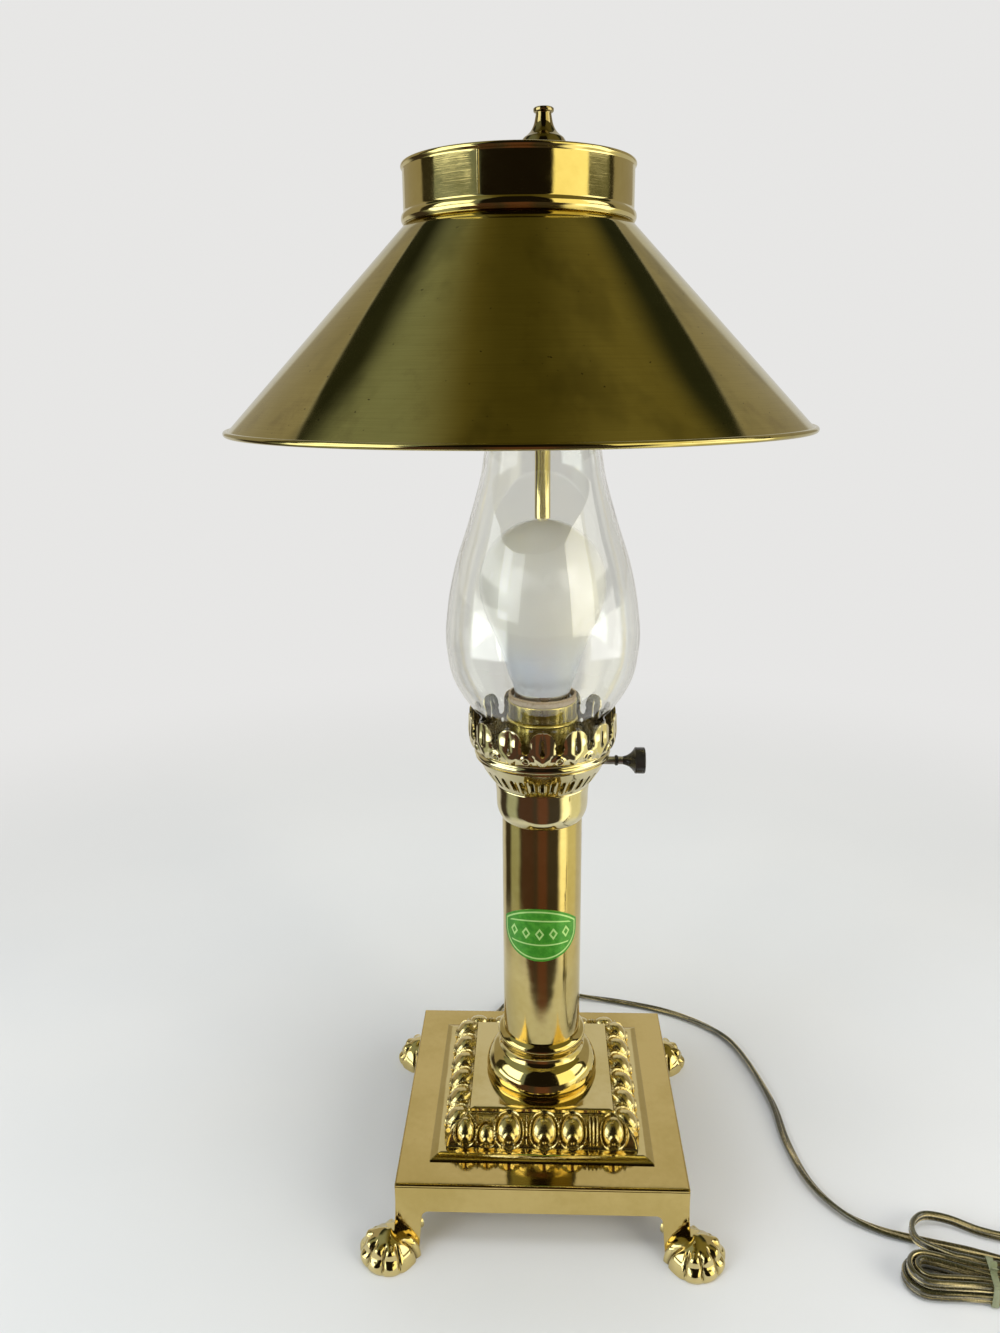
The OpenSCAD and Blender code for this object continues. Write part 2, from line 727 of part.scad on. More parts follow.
// Black knob with a small collar and a bell-shaped flare
module switch_knob() {
    r = knob_d / 2;
    neck = knob_len - knob_grip;
    outline = concat([[2.4, 0], [2.9, 0.4], [2.9, 1.2]], curve([[2.6, 1.6], [2.7, neck * 0.5],
        [r * 0.6, neck * 0.8], [r - 0.3, neck]], 3), [[r, neck + 0.3], [r, knob_len - 0.6],
        [r - 0.6, knob_len]]);
    color(black) translate([knob_reach - knob_len, 0, z_key]) rotate([0, 90, 0]) difference() {
        rotate_extrude() polygon(concat([[0, 0]], outline, [[0, knob_len]]));
        translate([0, 0, -1]) cylinder(d = shaft_d + 2 * thread_gap, h = knob_len * 0.5 + 1 + slip_gap);
    }
}

// Bulb with its screw base, centre contact and inner stem
bulb_r = bulb_d / 2;
screw_r = screw_d / 2;
base_floor = screw_len / 8;
z_bulb_top = z_rim + bulb_rise;
z_bulb_mid = z_bulb_top - bulb_r;

function bulb_line(g) = let (m = z_bulb_mid, r = bulb_r) concat(
    shift_r(curve([[screw_r + 0.6, z_rim + 2], [screw_r + 1.5, z_rim + 5.5], [screw_r + 3.2, z_rim + 9.7],
        [r * 0.635, m - r * 1.17], [r * 0.76, m - r * 0.83], [r * 0.9, m - r * 0.5],
        [r * 0.975, m - r * 0.25]], 3), -g),
    arc(0, m, r - g, -4, 90, 10));

module bulb_glass() {
    color([0.95, 0.95, 0.93]) rotate_extrude($fn = 96)
        polygon(concat(bulb_line(0), back(bulb_line(bulb_glass_t))));
}

module bulb_base() {
    z_low = z_rim - screw_len;
    color([0.80, 0.74, 0.55]) {
        translate([0, 0, z_low]) difference() {
            cylinder(r = screw_r, h = screw_len + 2);
            translate([0, 0, base_floor]) cylinder(r = screw_r - 1, h = screw_len);
        }
        translate([0, 0, z_tip]) cylinder(r1 = 4, r2 = screw_r - 3, h = z_low - z_tip);
    }
}

module bulb_stem() {
    foot_r = 0.38 * screw_r;
    tube_r = foot_r / 2;
    foot_top = z_rim - 0.3 * screw_len;
    wire_half = 0.4 * bulb_r;
    color([0.75, 0.78, 0.80]) {
        translate([0, 0, z_rim - screw_len + base_floor])
            cylinder(r = foot_r, h = 0.6 * screw_len);
        translate([0, 0, foot_top]) cylinder(r = tube_r, h = z_bulb_mid - foot_top);
        translate([-wire_half, 0, z_bulb_mid - tube_r]) rotate([0, 90, 0])
            cylinder(r = 0.2 * tube_r, h = 2 * wire_half);
    }
}

// Glass chimney that stands on the bowl's ledge, inside the crown
z_chimney = z_crown + loose_gap;

module chimney() {
    f = fitter_d / 2;
    b = belly_d / 2;
    m = b - mouth_d / 2;
    u = belly_up;
    t = chimney_h - belly_up;
    low = [[f, 0], [f, u * 0.15], [f, u * 0.295], [f + 1, u * 0.36], [f + 4.2, u * 0.437],
        [f + 8.1, u * 0.537], [b - 2.9, u * 0.66], [b - 1, u * 0.8], [b, u]];
    high = [[b - m * 0.06, u + t * 0.095], [b - m * 0.134, u + t * 0.16], [b - m * 0.26, u + t * 0.238],
        [b - m * 0.5, u + t * 0.349], [b - m * 0.727, u + t * 0.472], [b - m * 0.811, u + t * 0.548],
        [b - m * 0.929, u + t * 0.654], [b - m * 0.99, u + t * 0.784],
        [b - m * 1.013, u + t * 0.914], [b - m, chimney_h]];
    outline = curve(concat(low, high), 2);
    color([0.85, 0.90, 0.90, 0.35]) translate([0, 0, z_chimney]) rotate_extrude($fn = 96)
        polygon(concat(outline, back(shift_r(outline, -glass_t))));
}

// Shade, built about its own centre and then turned about the rod
module about_rod() {
    translate([0, rod_in, 0]) rotate([0, 0, -shade_turn]) translate([0, -spider_off, 0]) children();
}

collar_r = collar_d / 2;
collar_in = collar_r - sheet_t;
neck_r = collar_in - seat_gap;
shade_r = shade_d / 2;
lap = 2.4;
crease_h = 4.6;

module shade_cone() {
    low_r = shade_r - rim_bead_r;
    color(brass_olive) about_rod() translate([0, 0, rim_z]) rotate_extrude($fn = 128) {
        polygon([[low_r, rim_bead_r], [neck_r + 1, cone_h - 0.6], [neck_r, cone_h],
            [neck_r, cone_h + lap], [neck_r - sheet_t, cone_h + lap], [neck_r - sheet_t, cone_h - 1],
            [low_r - sheet_t * 1.4, rim_bead_r]]);
        translate([low_r, rim_bead_r]) circle(r = rim_bead_r, $fn = 24);
    }
}

module shade_collar() {
    outline = concat(
        curve([[collar_r + 0.3, 0], [collar_r + 1, 1.4], [collar_r + 0.9, 3.2],
            [collar_r, crease_h]], 3),
        [[collar_r, collar_h - 2.4], [collar_r + 0.7, collar_h - 1.2],
         [collar_r + 0.5, collar_h]]);
    color(brass) about_rod() translate([0, 0, z_cone_top + slip_gap]) rotate_extrude($fn = 128)
        polygon(concat(outline, [[collar_in, collar_h], [collar_in, 0]]));
}

// Cross-bar in the collar, with turned-down ends and a hole near one end for the rod's stud
spider_half = collar_in - seat_gap;
tab_h = shade_nut_t + 8;
rivet_down = tab_h - 4.5;

module spider_bar() {
    color(brass) about_rod() translate([0, 0, z_spider - spider_t]) difference() {
        intersection() {
            union() {
                translate([-spider_w / 2, -collar_d, 0]) cube([spider_w, 2 * collar_d, spider_t]);
                for (s = [0, 180]) rotate([0, 0, s])
                    translate([-spider_w / 2, spider_half - 1.6 * spider_t, -tab_h])
                        cube([spider_w, 2 * spider_t, tab_h + spider_t]);
            }
            translate([0, 0, -tab_h - 1]) cylinder(r = spider_half, h = big, $fn = 128);
        }
        translate([0, spider_off, -1]) cylinder(d = stud_d + 2 * run_gap, h = spider_t + 2);
        for (s = [0, 180]) rotate([0, 0, s]) translate([0, spider_half - 4 * spider_t, -rivet_down])
            rotate([-90, 0, 0]) cylinder(d = 3 + 2 * slip_gap, h = 6 * spider_t);
    }
}

module spider_rivets() {
    color(brass) about_rod() translate([0, 0, z_spider - spider_t - rivet_down])
        for (s = [0, 180]) rotate([0, 0, s]) translate([0, spider_half - 1.6 * spider_t - 1.4, 0])
            rotate([-90, 0, 0]) {
                cylinder(d = 5, h = 1.3);
                cylinder(d = 3, h = 1.4 + 1.3 * spider_t);
            }
}

module shade_nut() {
    color(brass) translate([0, rod_in, z_rod_high])
        hex_nut(11, shade_nut_t - slip_gap, stud_d + 2 * thread_gap);
}

// Finial that holds the shade down: a stem, a bell and a slim neck under a small disc
module finial() {
    r = finial_top_d / 2;
    b = bell_d / 2;
    h = finial_h;
    outline = concat([[7.5, 0], [7.5, 1.8], [6, 2.4], [5.8, h * 0.3]],
        curve([[6.8, h * 0.36], [b - 2, h * 0.41], [b, h * 0.45], [b - 0.5, h * 0.51],
            [b - 2.5, h * 0.62], [b - 4.4, h * 0.665], [b - 6.2, h * 0.72], [r - 0.2, h * 0.8],
            [r - 1, h * 0.91]], 3),
        [[r - 1, h - 2], [r - 0.2, h - 2], [r, h - 1.6], [r, h - 0.5], [r - 0.5, h]]);
    color(brass) translate([0, rod_in, z_spider + slip_gap]) difference() {
        rotate_extrude() polygon(concat([[0, 0]], outline, [[0, h]]));
        translate([0, 0, -1]) cylinder(d = stud_d + 2 * run_gap, h = finial_bore + 1);
    }
}

// Cord. A flat section is swept along rings of [point, direction, roll]; at a roll of 0 the
// cord lies flat, and at 90 it stands on its edge.
function unit(v) = v / norm(v);
function ring_at(r, sides) = let (p = r[0], d = r[1],
        side = unit([d[1] + 0.00001, -d[0], 0]), up = cross(side, d),
        a = side * cos(r[2]) + up * sin(r[2]), b = up * cos(r[2]) - side * sin(r[2]))
    [for (k = [0 : sides - 1]) let (t = 360 * (k + 0.5) / sides)
        p + a * cord_w / 2 * cos(t) / cos(180 / sides) + b * cord_t / 2 * sin(t) / tall(sides)];
function tall(sides) = max([for (k = [0 : sides - 1]) sin(360 * (k + 0.5) / sides)]);
function heading(p, i) = unit(p[min(i + 1, len(p) - 1)] - p[max(i - 1, 0)]);

module sweep(rings, sides) {
    n = len(rings);
    points = [for (r = rings) each ring_at(r, sides)];
    walls = [for (i = [0 : n - 2], k = [0 : sides - 1]) let (a = i * sides, m = (k + 1) % sides)
        each [[a + k, a + m, a + sides + k], [a + m, a + sides + m, a + sides + k]]];
    caps = [for (k = [1 : sides - 2]) each [[0, k + 1, k],
        [(n - 1) * sides, (n - 1) * sides + k, (n - 1) * sides + k + 1]]];
    polyhedron(points, concat(walls, caps));
}

// The hank: upright loops that wind inwards on top and outwards below. A turn is a straight
// run, a fold, the run back and the second fold; the runs are drawn in at the waist.
hank_at = [230, -93];
hank_turn = -10;
hank_run = 100;
hank_start = -2 / 24;
hank_turns = 4;
hank_inner = 4.2;
hank_step = 3.4;
hank_dip = 3.5;
hank_low = 3.4;
hank_lift = 5.6;
tail_len = 33.4;
plug_z = 5.8;

function hank_r(s) = hank_inner + hank_step * abs(s - hank_turns / 2);
function waist(u) = hank_dip * pow(1 - pow(2 * u / hank_run, 4), 2);
function ease(x) = let (c = max(0, min(1, x))) c * c * (3 - 2 * c);
function hank_height(s) = hank_low + hank_lift * (1 - ease((s - hank_turns / 2) / 0.2 + 0.5));
function hank_uv(s, r) = let (q = s + 0.125 - floor(s + 0.125), h = hank_run / 2,
        x = hank_run * 4 * (q % 0.25) - h, a = 720 * (q % 0.25))
    q < 0.25 ? [x, r - waist(x)]
    : q < 0.5 ? [h + r * sin(a), r * cos(a)]
    : q < 0.75 ? [-x, waist(x) - r]
    : [-h - r * sin(a), -r * cos(a)];
function hank_place(u, v, z) = [
    hank_at[0] + u * cos(hank_turn) - v * sin(hank_turn),
    hank_at[1] + u * sin(hank_turn) + v * cos(hank_turn), z];
hank_loops = [for (i = [0 : 24 * hank_turns + 5]) let (s = hank_start + i / 24,
    w = hank_uv(s, hank_r(s))) hank_place(w[0], w[1], hank_height(s))];
tail_v = hank_r(hank_turns + 0.125);
hank_tail = [for (f = [0.25, 0.5, 0.7, 0.85, 1]) hank_place(hank_run / 2 + tail_len * f, tail_v,
    hank_low + (plug_z - hank_low) * ease(f / 0.85))];
hank_points = concat(hank_loops, hank_tail);
hank_count = len(hank_points);
hank_axis = [cos(hank_turn), sin(hank_turn), 0];
function hank_roll(i) = 90 * (1 - ease((i - len(hank_loops) + 1) / 4));
hank_rings = [for (i = [0 : hank_count - 1]) [hank_points[i],
    i == hank_count - 1 ? hank_axis : heading(hank_points, i), hank_roll(i)]];

// Least gap between strands, from the side and from above, taken at the rings
function strand_gap(p, q) = max(norm([p[0] - q[0], p[1] - q[1]]) - cord_t, abs(p[2] - q[2]) - cord_w);
hank_gap = min([for (i = [0 : hank_count - 13], j = [i + 12 : hank_count - 1])
    strand_gap(hank_points[i], hank_points[j])]);
echo(hank_gap = hank_gap);

// The free stretch: [x, y, z, roll], from the bushing under the base to the hank
start_dir = unit(hank_points[1] - hank_points[0]);
before_hank = hank_points[0] - 5 * start_dir;
cord_route = [
    [0, 0, z_exit, 0], [0, 0, z_exit - 5, 0], [-0.5, 2, 16, 0], [-2, 8, 9, 0], [-5, 18, 4.5, 0],
    [-11, 33, 2, 0], [-20, 58, 1.6, 0], [-29, 85, 1.6, 0], [-32, 109, 1.8, 20],
    [-24, 129, 2.7, 60], [-6, 140, 2.8, 75], [17, 142, 2.7, 60], [48, 137, 1.7, 10],
    [80, 127, 1.6, 0], [104, 113, 1.8, 20], [120, 95, 2.5, 50], [129, 68, 2.7, 60],
    [135, 35, 2.4, 45], [136, 5, 1.8, 20], [141, -24, 2.3, 40], [152, -44, 2.4, 45],
    [166, -54, 1.8, 20], [183, -60, 1.6, 0], [207, -66.5, 1.6, 0], [228, -73.5, 1.9, 30],
    [241, -75.5, 2.8, 70], [249.5, -73, 2.8, 90], [253.5, -67.5, 2.8, 90],
    [251.5, -61.5, 2.8, 90], [244, -58.5, 2.8, 90], [230, -59.5, 3, 90], [216, -56, 3.5, 90],
    [203, -50, 4.4, 90], [191.5, -49, 5.5, 90], [184, -54.5, 6.2, 90], [181.5, -62, 6.8, 90],
    [183.5, -69, 7.8, 90]
];
route_points = concat([for (q = cord_route) [q[0], q[1], q[2]]], [before_hank, hank_points[0]]);
route_rolls = concat([for (q = cord_route) q[3]], [90, 90]);
cord_points = curve(route_points, 2);
cord_count = len(cord_points);
cord_rings = [for (i = [0 : cord_count - 1]) [cord_points[i],
    i == 0 ? [0, 0, -1] : i == cord_count - 1 ? start_dir : heading(cord_points, i),
    (route_rolls[floor(i / 2)] + route_rolls[ceil(i / 2)]) / 2]];

module cord_run() {
    color(clear_gold) sweep(cord_rings, 8);
}

module cord_hank() {
    color(clear_gold) sweep(hank_rings, 6);
}

// Tie round the hank's waist, a flat band with its two ends standing up
tie_u = -22;
tie_w = 3;
tie_t = 0.5;
tie_gap = 0.75;
tie_back = hank_r(0) - waist(tie_u) + cord_t / 2 + tie_gap;
tie_front = hank_r(hank_turns - 0.5) - waist(tie_u) + cord_t / 2 + tie_gap;
tie_top = hank_low + hank_lift + cord_w / 2 + loose_gap;
tie_low = hank_low - cord_w / 2 - loose_gap;

module band_outline(g) {
    translate([(tie_back - tie_front) / 2, (tie_top + tie_low) / 2])
        round_rect(tie_back + tie_front + 2 * g, tie_top - tie_low + 2 * g, 1.2 + g);
}

module in_hank(u, v, z) {
    translate([hank_at[0], hank_at[1], 0]) rotate([0, 0, hank_turn]) translate([u, v, z]) children();
}

module cord_tie() {
    color([0.75, 0.78, 0.66]) in_hank(tie_u, 0, 0) {
        rotate([90, 0, 90]) linear_extrude(tie_w, center = true) difference() {
            band_outline(tie_t);
            band_outline(0);
        }
        for (s = [-1, 1]) translate([-tie_w / 2, s * 1.2 - tie_t / 2, tie_top])
            cube([tie_w, tie_t, 4]);
    }
}

// Flat two-blade plug at the cord's far end
plug_l = 26;
plug_w = 24;
plug_t = 11;
blade_l = 16;

module at_plug() {
    in_hank(hank_run / 2 + tail_len, tail_v, plug_z) rotate([0, 90, 0]) rotate([0, 0, 90]) children();
}

module plug_body() {
    color(clear_gold) at_plug() {
        linear_extrude(6) round_rect(cord_w + 4, cord_t + 4, 2.2);
        translate([0, 0, 6]) linear_extrude(plug_l - 6) round_rect(plug_w, plug_t, 4);
    }
}

module plug_blades() {
    color(brass) at_plug() for (s = [-1, 1]) translate([s * 6.35 - 0.75, -3.15, plug_l])
        cube([1.5, 6.3, blade_l]);
}

base_frame();
paw_front_left();
paw_front_right();
paw_back_left();
paw_back_right();
paw_screws();
plinth();
column_foot();
column_tube();
column_label();
cup();
burner_bowl();
gallery_crown();
centre_pipe();
base_washer();
base_nut();
cup_nut();
cord_bushing();
inner_lead();
rod_arm();
shade_rod();
rod_nut();
socket_cap();
socket_shell();
socket_liner();
switch_block();
socket_thread();
contact_spring();
terminal_screws();
switch_shaft();
switch_knob();
bulb_glass();
bulb_base();
bulb_stem();
chimney();
shade_nut();
shade_cone();
shade_collar();
spider_bar();
spider_rivets();
finial();
cord_run();
cord_hank();
cord_tie();
plug_body();
plug_blades();
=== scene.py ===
"""A brass table lamp in the style of an old railway carriage lamp.

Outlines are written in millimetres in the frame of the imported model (z up from the table, the
front towards -y, the switch key towards +x) and are scaled to metres once, in add_piece().
"""
import math

import bmesh
import bpy
import numpy as np
from mathutils import Matrix


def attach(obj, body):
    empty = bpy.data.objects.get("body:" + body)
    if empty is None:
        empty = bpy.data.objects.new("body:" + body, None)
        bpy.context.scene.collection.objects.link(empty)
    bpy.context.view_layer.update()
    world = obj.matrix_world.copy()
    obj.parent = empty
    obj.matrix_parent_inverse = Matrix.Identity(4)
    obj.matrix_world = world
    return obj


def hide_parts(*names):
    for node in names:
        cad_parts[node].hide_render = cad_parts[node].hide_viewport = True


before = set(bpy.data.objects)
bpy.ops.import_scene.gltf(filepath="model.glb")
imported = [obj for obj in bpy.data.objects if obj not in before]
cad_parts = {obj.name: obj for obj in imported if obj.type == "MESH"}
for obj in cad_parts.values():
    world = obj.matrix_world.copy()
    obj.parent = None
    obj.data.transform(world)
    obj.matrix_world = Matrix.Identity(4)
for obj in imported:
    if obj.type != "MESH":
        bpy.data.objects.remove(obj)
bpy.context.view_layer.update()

MM = 0.001
TURN = 2 * math.pi


# ---- Surfaces -------------------------------------------------------------------------------

def grid_faces(rows, cols, close_rows=False, close_cols=False):
    """Quads over rows x cols points numbered row by row: (i, j), (i+1, j), (i+1, j+1), (i, j+1).
    A closed direction joins its last line of points to its first."""
    i = np.arange(rows if close_rows else rows - 1)[:, None]
    j = np.arange(cols if close_cols else cols - 1)[None, :]
    i1, j1 = (i + 1) % rows, (j + 1) % cols
    quads = np.stack([i * cols + j, i1 * cols + j, i1 * cols + j1, i * cols + j1], -1)
    return quads.reshape(-1, 4)


def fan(centre, ring):
    """Triangles from the point numbered centre to each step round a closed ring of numbers."""
    return np.stack([np.full(len(ring), centre), ring, np.roll(ring, -1)], 1)


def spline(points, steps):
    """A smooth curve through the points, with that many samples a span. Between b and c, with a
    before and d after them, it is (2b + (c-a)u + (2a-5b+4c-d)u^2 + (3b-a-3c+d)u^3) / 2."""
    p = np.asarray(points, float)
    k = np.arange(len(p) - 1)
    a, b = p[np.maximum(k - 1, 0)][:, None], p[k][:, None]
    c, d = p[k + 1][:, None], p[np.minimum(k + 2, len(p) - 1)][:, None]
    u = (np.arange(steps) / steps)[None, :, None]
    cubic = 0.5 * (2 * b + (c - a) * u + (2 * a - 5 * b + 4 * c - d) * u ** 2
                   + (3 * b - a - 3 * c + d) * u ** 3)
    return np.vstack([cubic.reshape(-1, p.shape[1]), p[-1:]])


def arc(cx, cy, r, start, end, steps):
    """Points of a circle's arc: centre plus r times (cos, sin) of an angle from start to end, in degrees."""
    t = np.radians(np.linspace(start, end, steps + 1))
    return np.stack([cx + r * np.cos(t), cy + r * np.sin(t)], 1)


def join(*runs):
    """One outline out of several runs of points."""
    return np.vstack([np.asarray(r, float) for r in runs])


def ease(x):
    """0 below 0, 1 above 1, and 3x^2 - 2x^3 between."""
    x = np.clip(x, 0, 1)
    return x * x * (3 - 2 * x)


def unit(v):
    return v / np.linalg.norm(v, axis=-1, keepdims=True)


def shell(outer, inner, faces):
    """A thin wall out of its two skins, which have the same points: the outer faces, the same faces
    turned round on the inner skin, and a quad from skin to skin along every edge that is used once."""
    n = len(outer)
    edges = np.vstack([np.stack([f, np.roll(f, -1, 1)], -1).reshape(-1, 2) for f in faces])
    ways = edges[:, 0] * n + edges[:, 1]
    rim = edges[~np.isin(ways, edges[:, 1] * n + edges[:, 0])]
    strip = np.stack([rim[:, 1], rim[:, 0], rim[:, 0] + n, rim[:, 1] + n], 1)
    return np.vstack([outer, inner]), [*faces, *[f[:, ::-1] + n for f in faces], strip]


def add_piece(name, points, faces, body, slot, finish, replaces=(), crease=38, uv=None, weld=False, **layers):
    """Puts points (n, 3), in millimetres, and faces into a mesh piece that rides on a body. Points that
    no face uses are left out. uv is a pair for each point; a layer is one number for each point, stored
    under its name. weld joins points that fall on each other."""
    used = np.unique(np.concatenate([f.ravel() for f in faces]))
    number = np.full(len(points), -1)
    number[used] = np.arange(len(used))
    faces = [number[f] for f in faces]
    layers = {layer: np.ravel(values)[used] for layer, values in layers.items()}
    mesh = bpy.data.meshes.new(name)
    mesh.from_pydata((np.asarray(points)[used] * MM).tolist(), [], [f for run in faces for f in run.tolist()])
    if weld:
        work = bmesh.new()
        work.from_mesh(mesh)
        bmesh.ops.remove_doubles(work, verts=work.verts, dist=0.01 * MM)
        work.to_mesh(mesh)
        work.free()
    mesh.shade_smooth()
    mesh.set_sharp_from_angle(angle=math.radians(crease))
    if uv is not None:
        corner = np.zeros(len(mesh.loops), np.int32)
        mesh.loops.foreach_get("vertex_index", corner)
        pairs = np.asarray(uv, np.float32)[used]
        mesh.uv_layers.new(name="along").data.foreach_set("uv", pairs[corner].ravel())
    for layer, values in layers.items():
        mesh.attributes.new(layer, "FLOAT", "POINT").data.foreach_set("value", np.float32(values).ravel())
    mesh.materials.append(finish)
    piece = bpy.data.objects.new(name, mesh)
    bpy.context.scene.collection.objects.link(piece)
    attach(piece, body)
    if replaces:
        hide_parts(*replaces)
    return piece


def turned(name, outline, body, slot, finish, replaces=(), closed=False, about=(0, 0), steps=128,
           lying=None, **kept):
    """A turned piece. Each (radius, height) of the outline, bottom to top on the outside, goes round
    the upright axis at about: x = radius cos t, y = radius sin t. A closed outline is a ring with a
    wall; an open one starts and ends on the axis. lying = z lays the axis along +x at that height."""
    line = np.asarray(outline, float)
    t = np.arange(steps) / steps * TURN
    rim = line if closed else line[1:-1]
    r, z = rim[:, 0][None, :], rim[:, 1][None, :]
    points = np.stack([r * np.cos(t)[:, None], r * np.sin(t)[:, None], z + 0 * t[:, None]], -1)
    points = points.reshape(-1, 3)
    faces = [grid_faces(steps, len(rim), True, closed)]
    if not closed:
        n, k = len(points), np.arange(steps)
        low, high = k * len(rim), k * len(rim) + len(rim) - 1
        points = np.vstack([points, [[0, 0, line[0, 1]], [0, 0, line[-1, 1]]]])
        faces += [np.stack([np.full(steps, n), np.roll(low, -1), low], 1),
                  np.stack([np.full(steps, n + 1), high, np.roll(high, -1)], 1)]
    if lying is not None:
        points = np.stack([points[:, 2], points[:, 0], points[:, 1] + lying], 1)
    points[:, :2] += about
    return add_piece(name, points, faces, body, slot, finish, replaces, **kept)


def swept(name, centres, across, over, section, body, slot, finish, replaces=(), **kept):
    """A section carried along a line: ring point = centre + section x * across + section y * over.
    Both ends are closed by a fan to the ring's centre. The section runs anticlockwise, and the faces
    are turned round where across x over points back along the line."""
    rows, cols = len(centres), len(section)
    points = (centres[:, None] + section[None, :, 0:1] * across[:, None]
              + section[None, :, 1:2] * over[:, None]).reshape(-1, 3)
    n, ring = len(points), np.arange(cols)
    points = np.vstack([points, centres[:1], centres[-1:]])
    faces = [grid_faces(rows, cols, False, True)[:, ::-1], fan(n, ring)[:, ::-1], fan(n + 1, n - cols + ring)]
    if np.cross(across[0], over[0]) @ (centres[1] - centres[0]) < 0:
        faces = [f[:, ::-1] for f in faces]
    return add_piece(name, points, faces, body, slot, finish, replaces, **kept)


def pierced(name, line, count, per, cut, relief, wall, *about_piece, **kept):
    """A thin turned wall with openings, made of count equal fields round the upright axis. A point has
    the place s along its field, in millimetres from the middle, and t up the outline. cut(s, t, field)
    is above 0 in an opening. A point within half a step of the edge moves onto it, by cut / slope against
    the slope, and faces over an opening are left out. relief(s, t) lifts the outer skin. The layer
    'hollow' is 0.8 on the inner skin, where the brass finish paints shade, so the inside shows dark through the
    openings."""
    steps = np.linalg.norm(np.diff(line, axis=0), axis=1)
    run = np.concatenate([[0], np.cumsum(steps)])
    radius = line[:, 0].max()
    pitch = TURN * radius / count
    rows = int(run[-1] / 0.4) + 1
    s, t = np.meshgrid((np.arange(count * per) % per) / per * pitch - pitch / 2, np.linspace(0, run[-1], rows), indexing="ij")
    field = np.arange(count * per)[:, None] // per
    tiny, step = 0.01, max(pitch / per, run[-1] / (rows - 1))
    value = cut(s, t, field)
    slope_s = (cut(s + tiny, t, field) - cut(s - tiny, t, field)) / (2 * tiny)
    slope_t = (cut(s, t + tiny, field) - cut(s, t - tiny, field)) / (2 * tiny)
    square = slope_s ** 2 + slope_t ** 2 + 1e-9
    near = np.abs(value) / np.sqrt(square) < 0.55 * step
    inner_rows = (t > 0) & (t < run[-1])
    s = np.where(near, s - value * slope_s / square, s)
    t = np.where(near & inner_rows, np.clip(t - value * slope_t / square, 0, run[-1]), t)
    solid = (value <= 0) | near
    angle = (field + 0.5 + s / pitch) * TURN / count - math.pi / 2 - TURN / count / 2
    way = unit(np.gradient(line, run, axis=0))
    r, z, dr, dz = (np.interp(t, run, v) for v in (line[:, 0], line[:, 1], way[:, 1], -way[:, 0]))
    lift = relief(s, t)

    def skin(off):
        rim = r + off * dr
        return np.stack([rim * np.cos(angle), rim * np.sin(angle), z + off * dz], -1).reshape(-1, 3)

    faces = grid_faces(count * per, rows, True, False)
    inside = solid.ravel()[faces]
    whole = faces[inside.all(1)]
    threes = faces[inside.sum(1) == 3]
    missing = (~inside[inside.sum(1) == 3]).argmax(1)
    pick = (missing[:, None] + np.array([1, 2, 3])) % 4
    threes = np.take_along_axis(threes, pick, 1)
    points, walls = shell(skin(lift), skin(lift * 0.8 - wall), [whole, threes] if len(threes) else [whole])
    # Painted shade: the inner skin gets a high 'hollow', so it reads dark through the openings.
    hollow = np.repeat([0.0, 0.8], s.size)
    return add_piece(name, points, walls, *about_piece, hollow=hollow, **kept)


# ---- Finishes -------------------------------------------------------------------------------

class Graph:
    """Short calls that add a node to a tree and join it."""

    def __init__(self, tree):
        self.nodes, self.links = tree.nodes, tree.links

    def add(self, kind, inputs=(), output=0, **settings):
        """A node of that kind with its settings made and its inputs set or joined."""
        node = self.nodes.new(kind)
        for key, value in settings.items():
            setattr(node, key, value)
        for key, value in dict(inputs).items():
            if isinstance(value, bpy.types.NodeSocket):
                self.links.new(value, node.inputs[key])
            else:
                node.inputs[key].default_value = value
        return node.outputs[output]

    def span(self, value, low, high, to_low, to_high, smooth=True):
        """The value carried from low..high to to_low..to_high, and held there."""
        return self.add("ShaderNodeMapRange", {
            "Value": value, "From Min": low, "From Max": high, "To Min": to_low, "To Max": to_high},
            interpolation_type="SMOOTHSTEP" if smooth else "LINEAR")

    def blend(self, share, first, second, mode="MIX"):
        """Two colours mixed by a share."""
        pair = {key: (*c, 1) if isinstance(c, tuple) else c for key, c in ((6, first), (7, second))}
        return self.add("ShaderNodeMix", {0: share, **pair}, 2, data_type="RGBA", blend_type=mode)

    def sum(self, first, second, operation="ADD"):
        """Two numbers added, or combined as the operation says."""
        return self.add("ShaderNodeMath", {0: first, 1: second}, operation=operation)


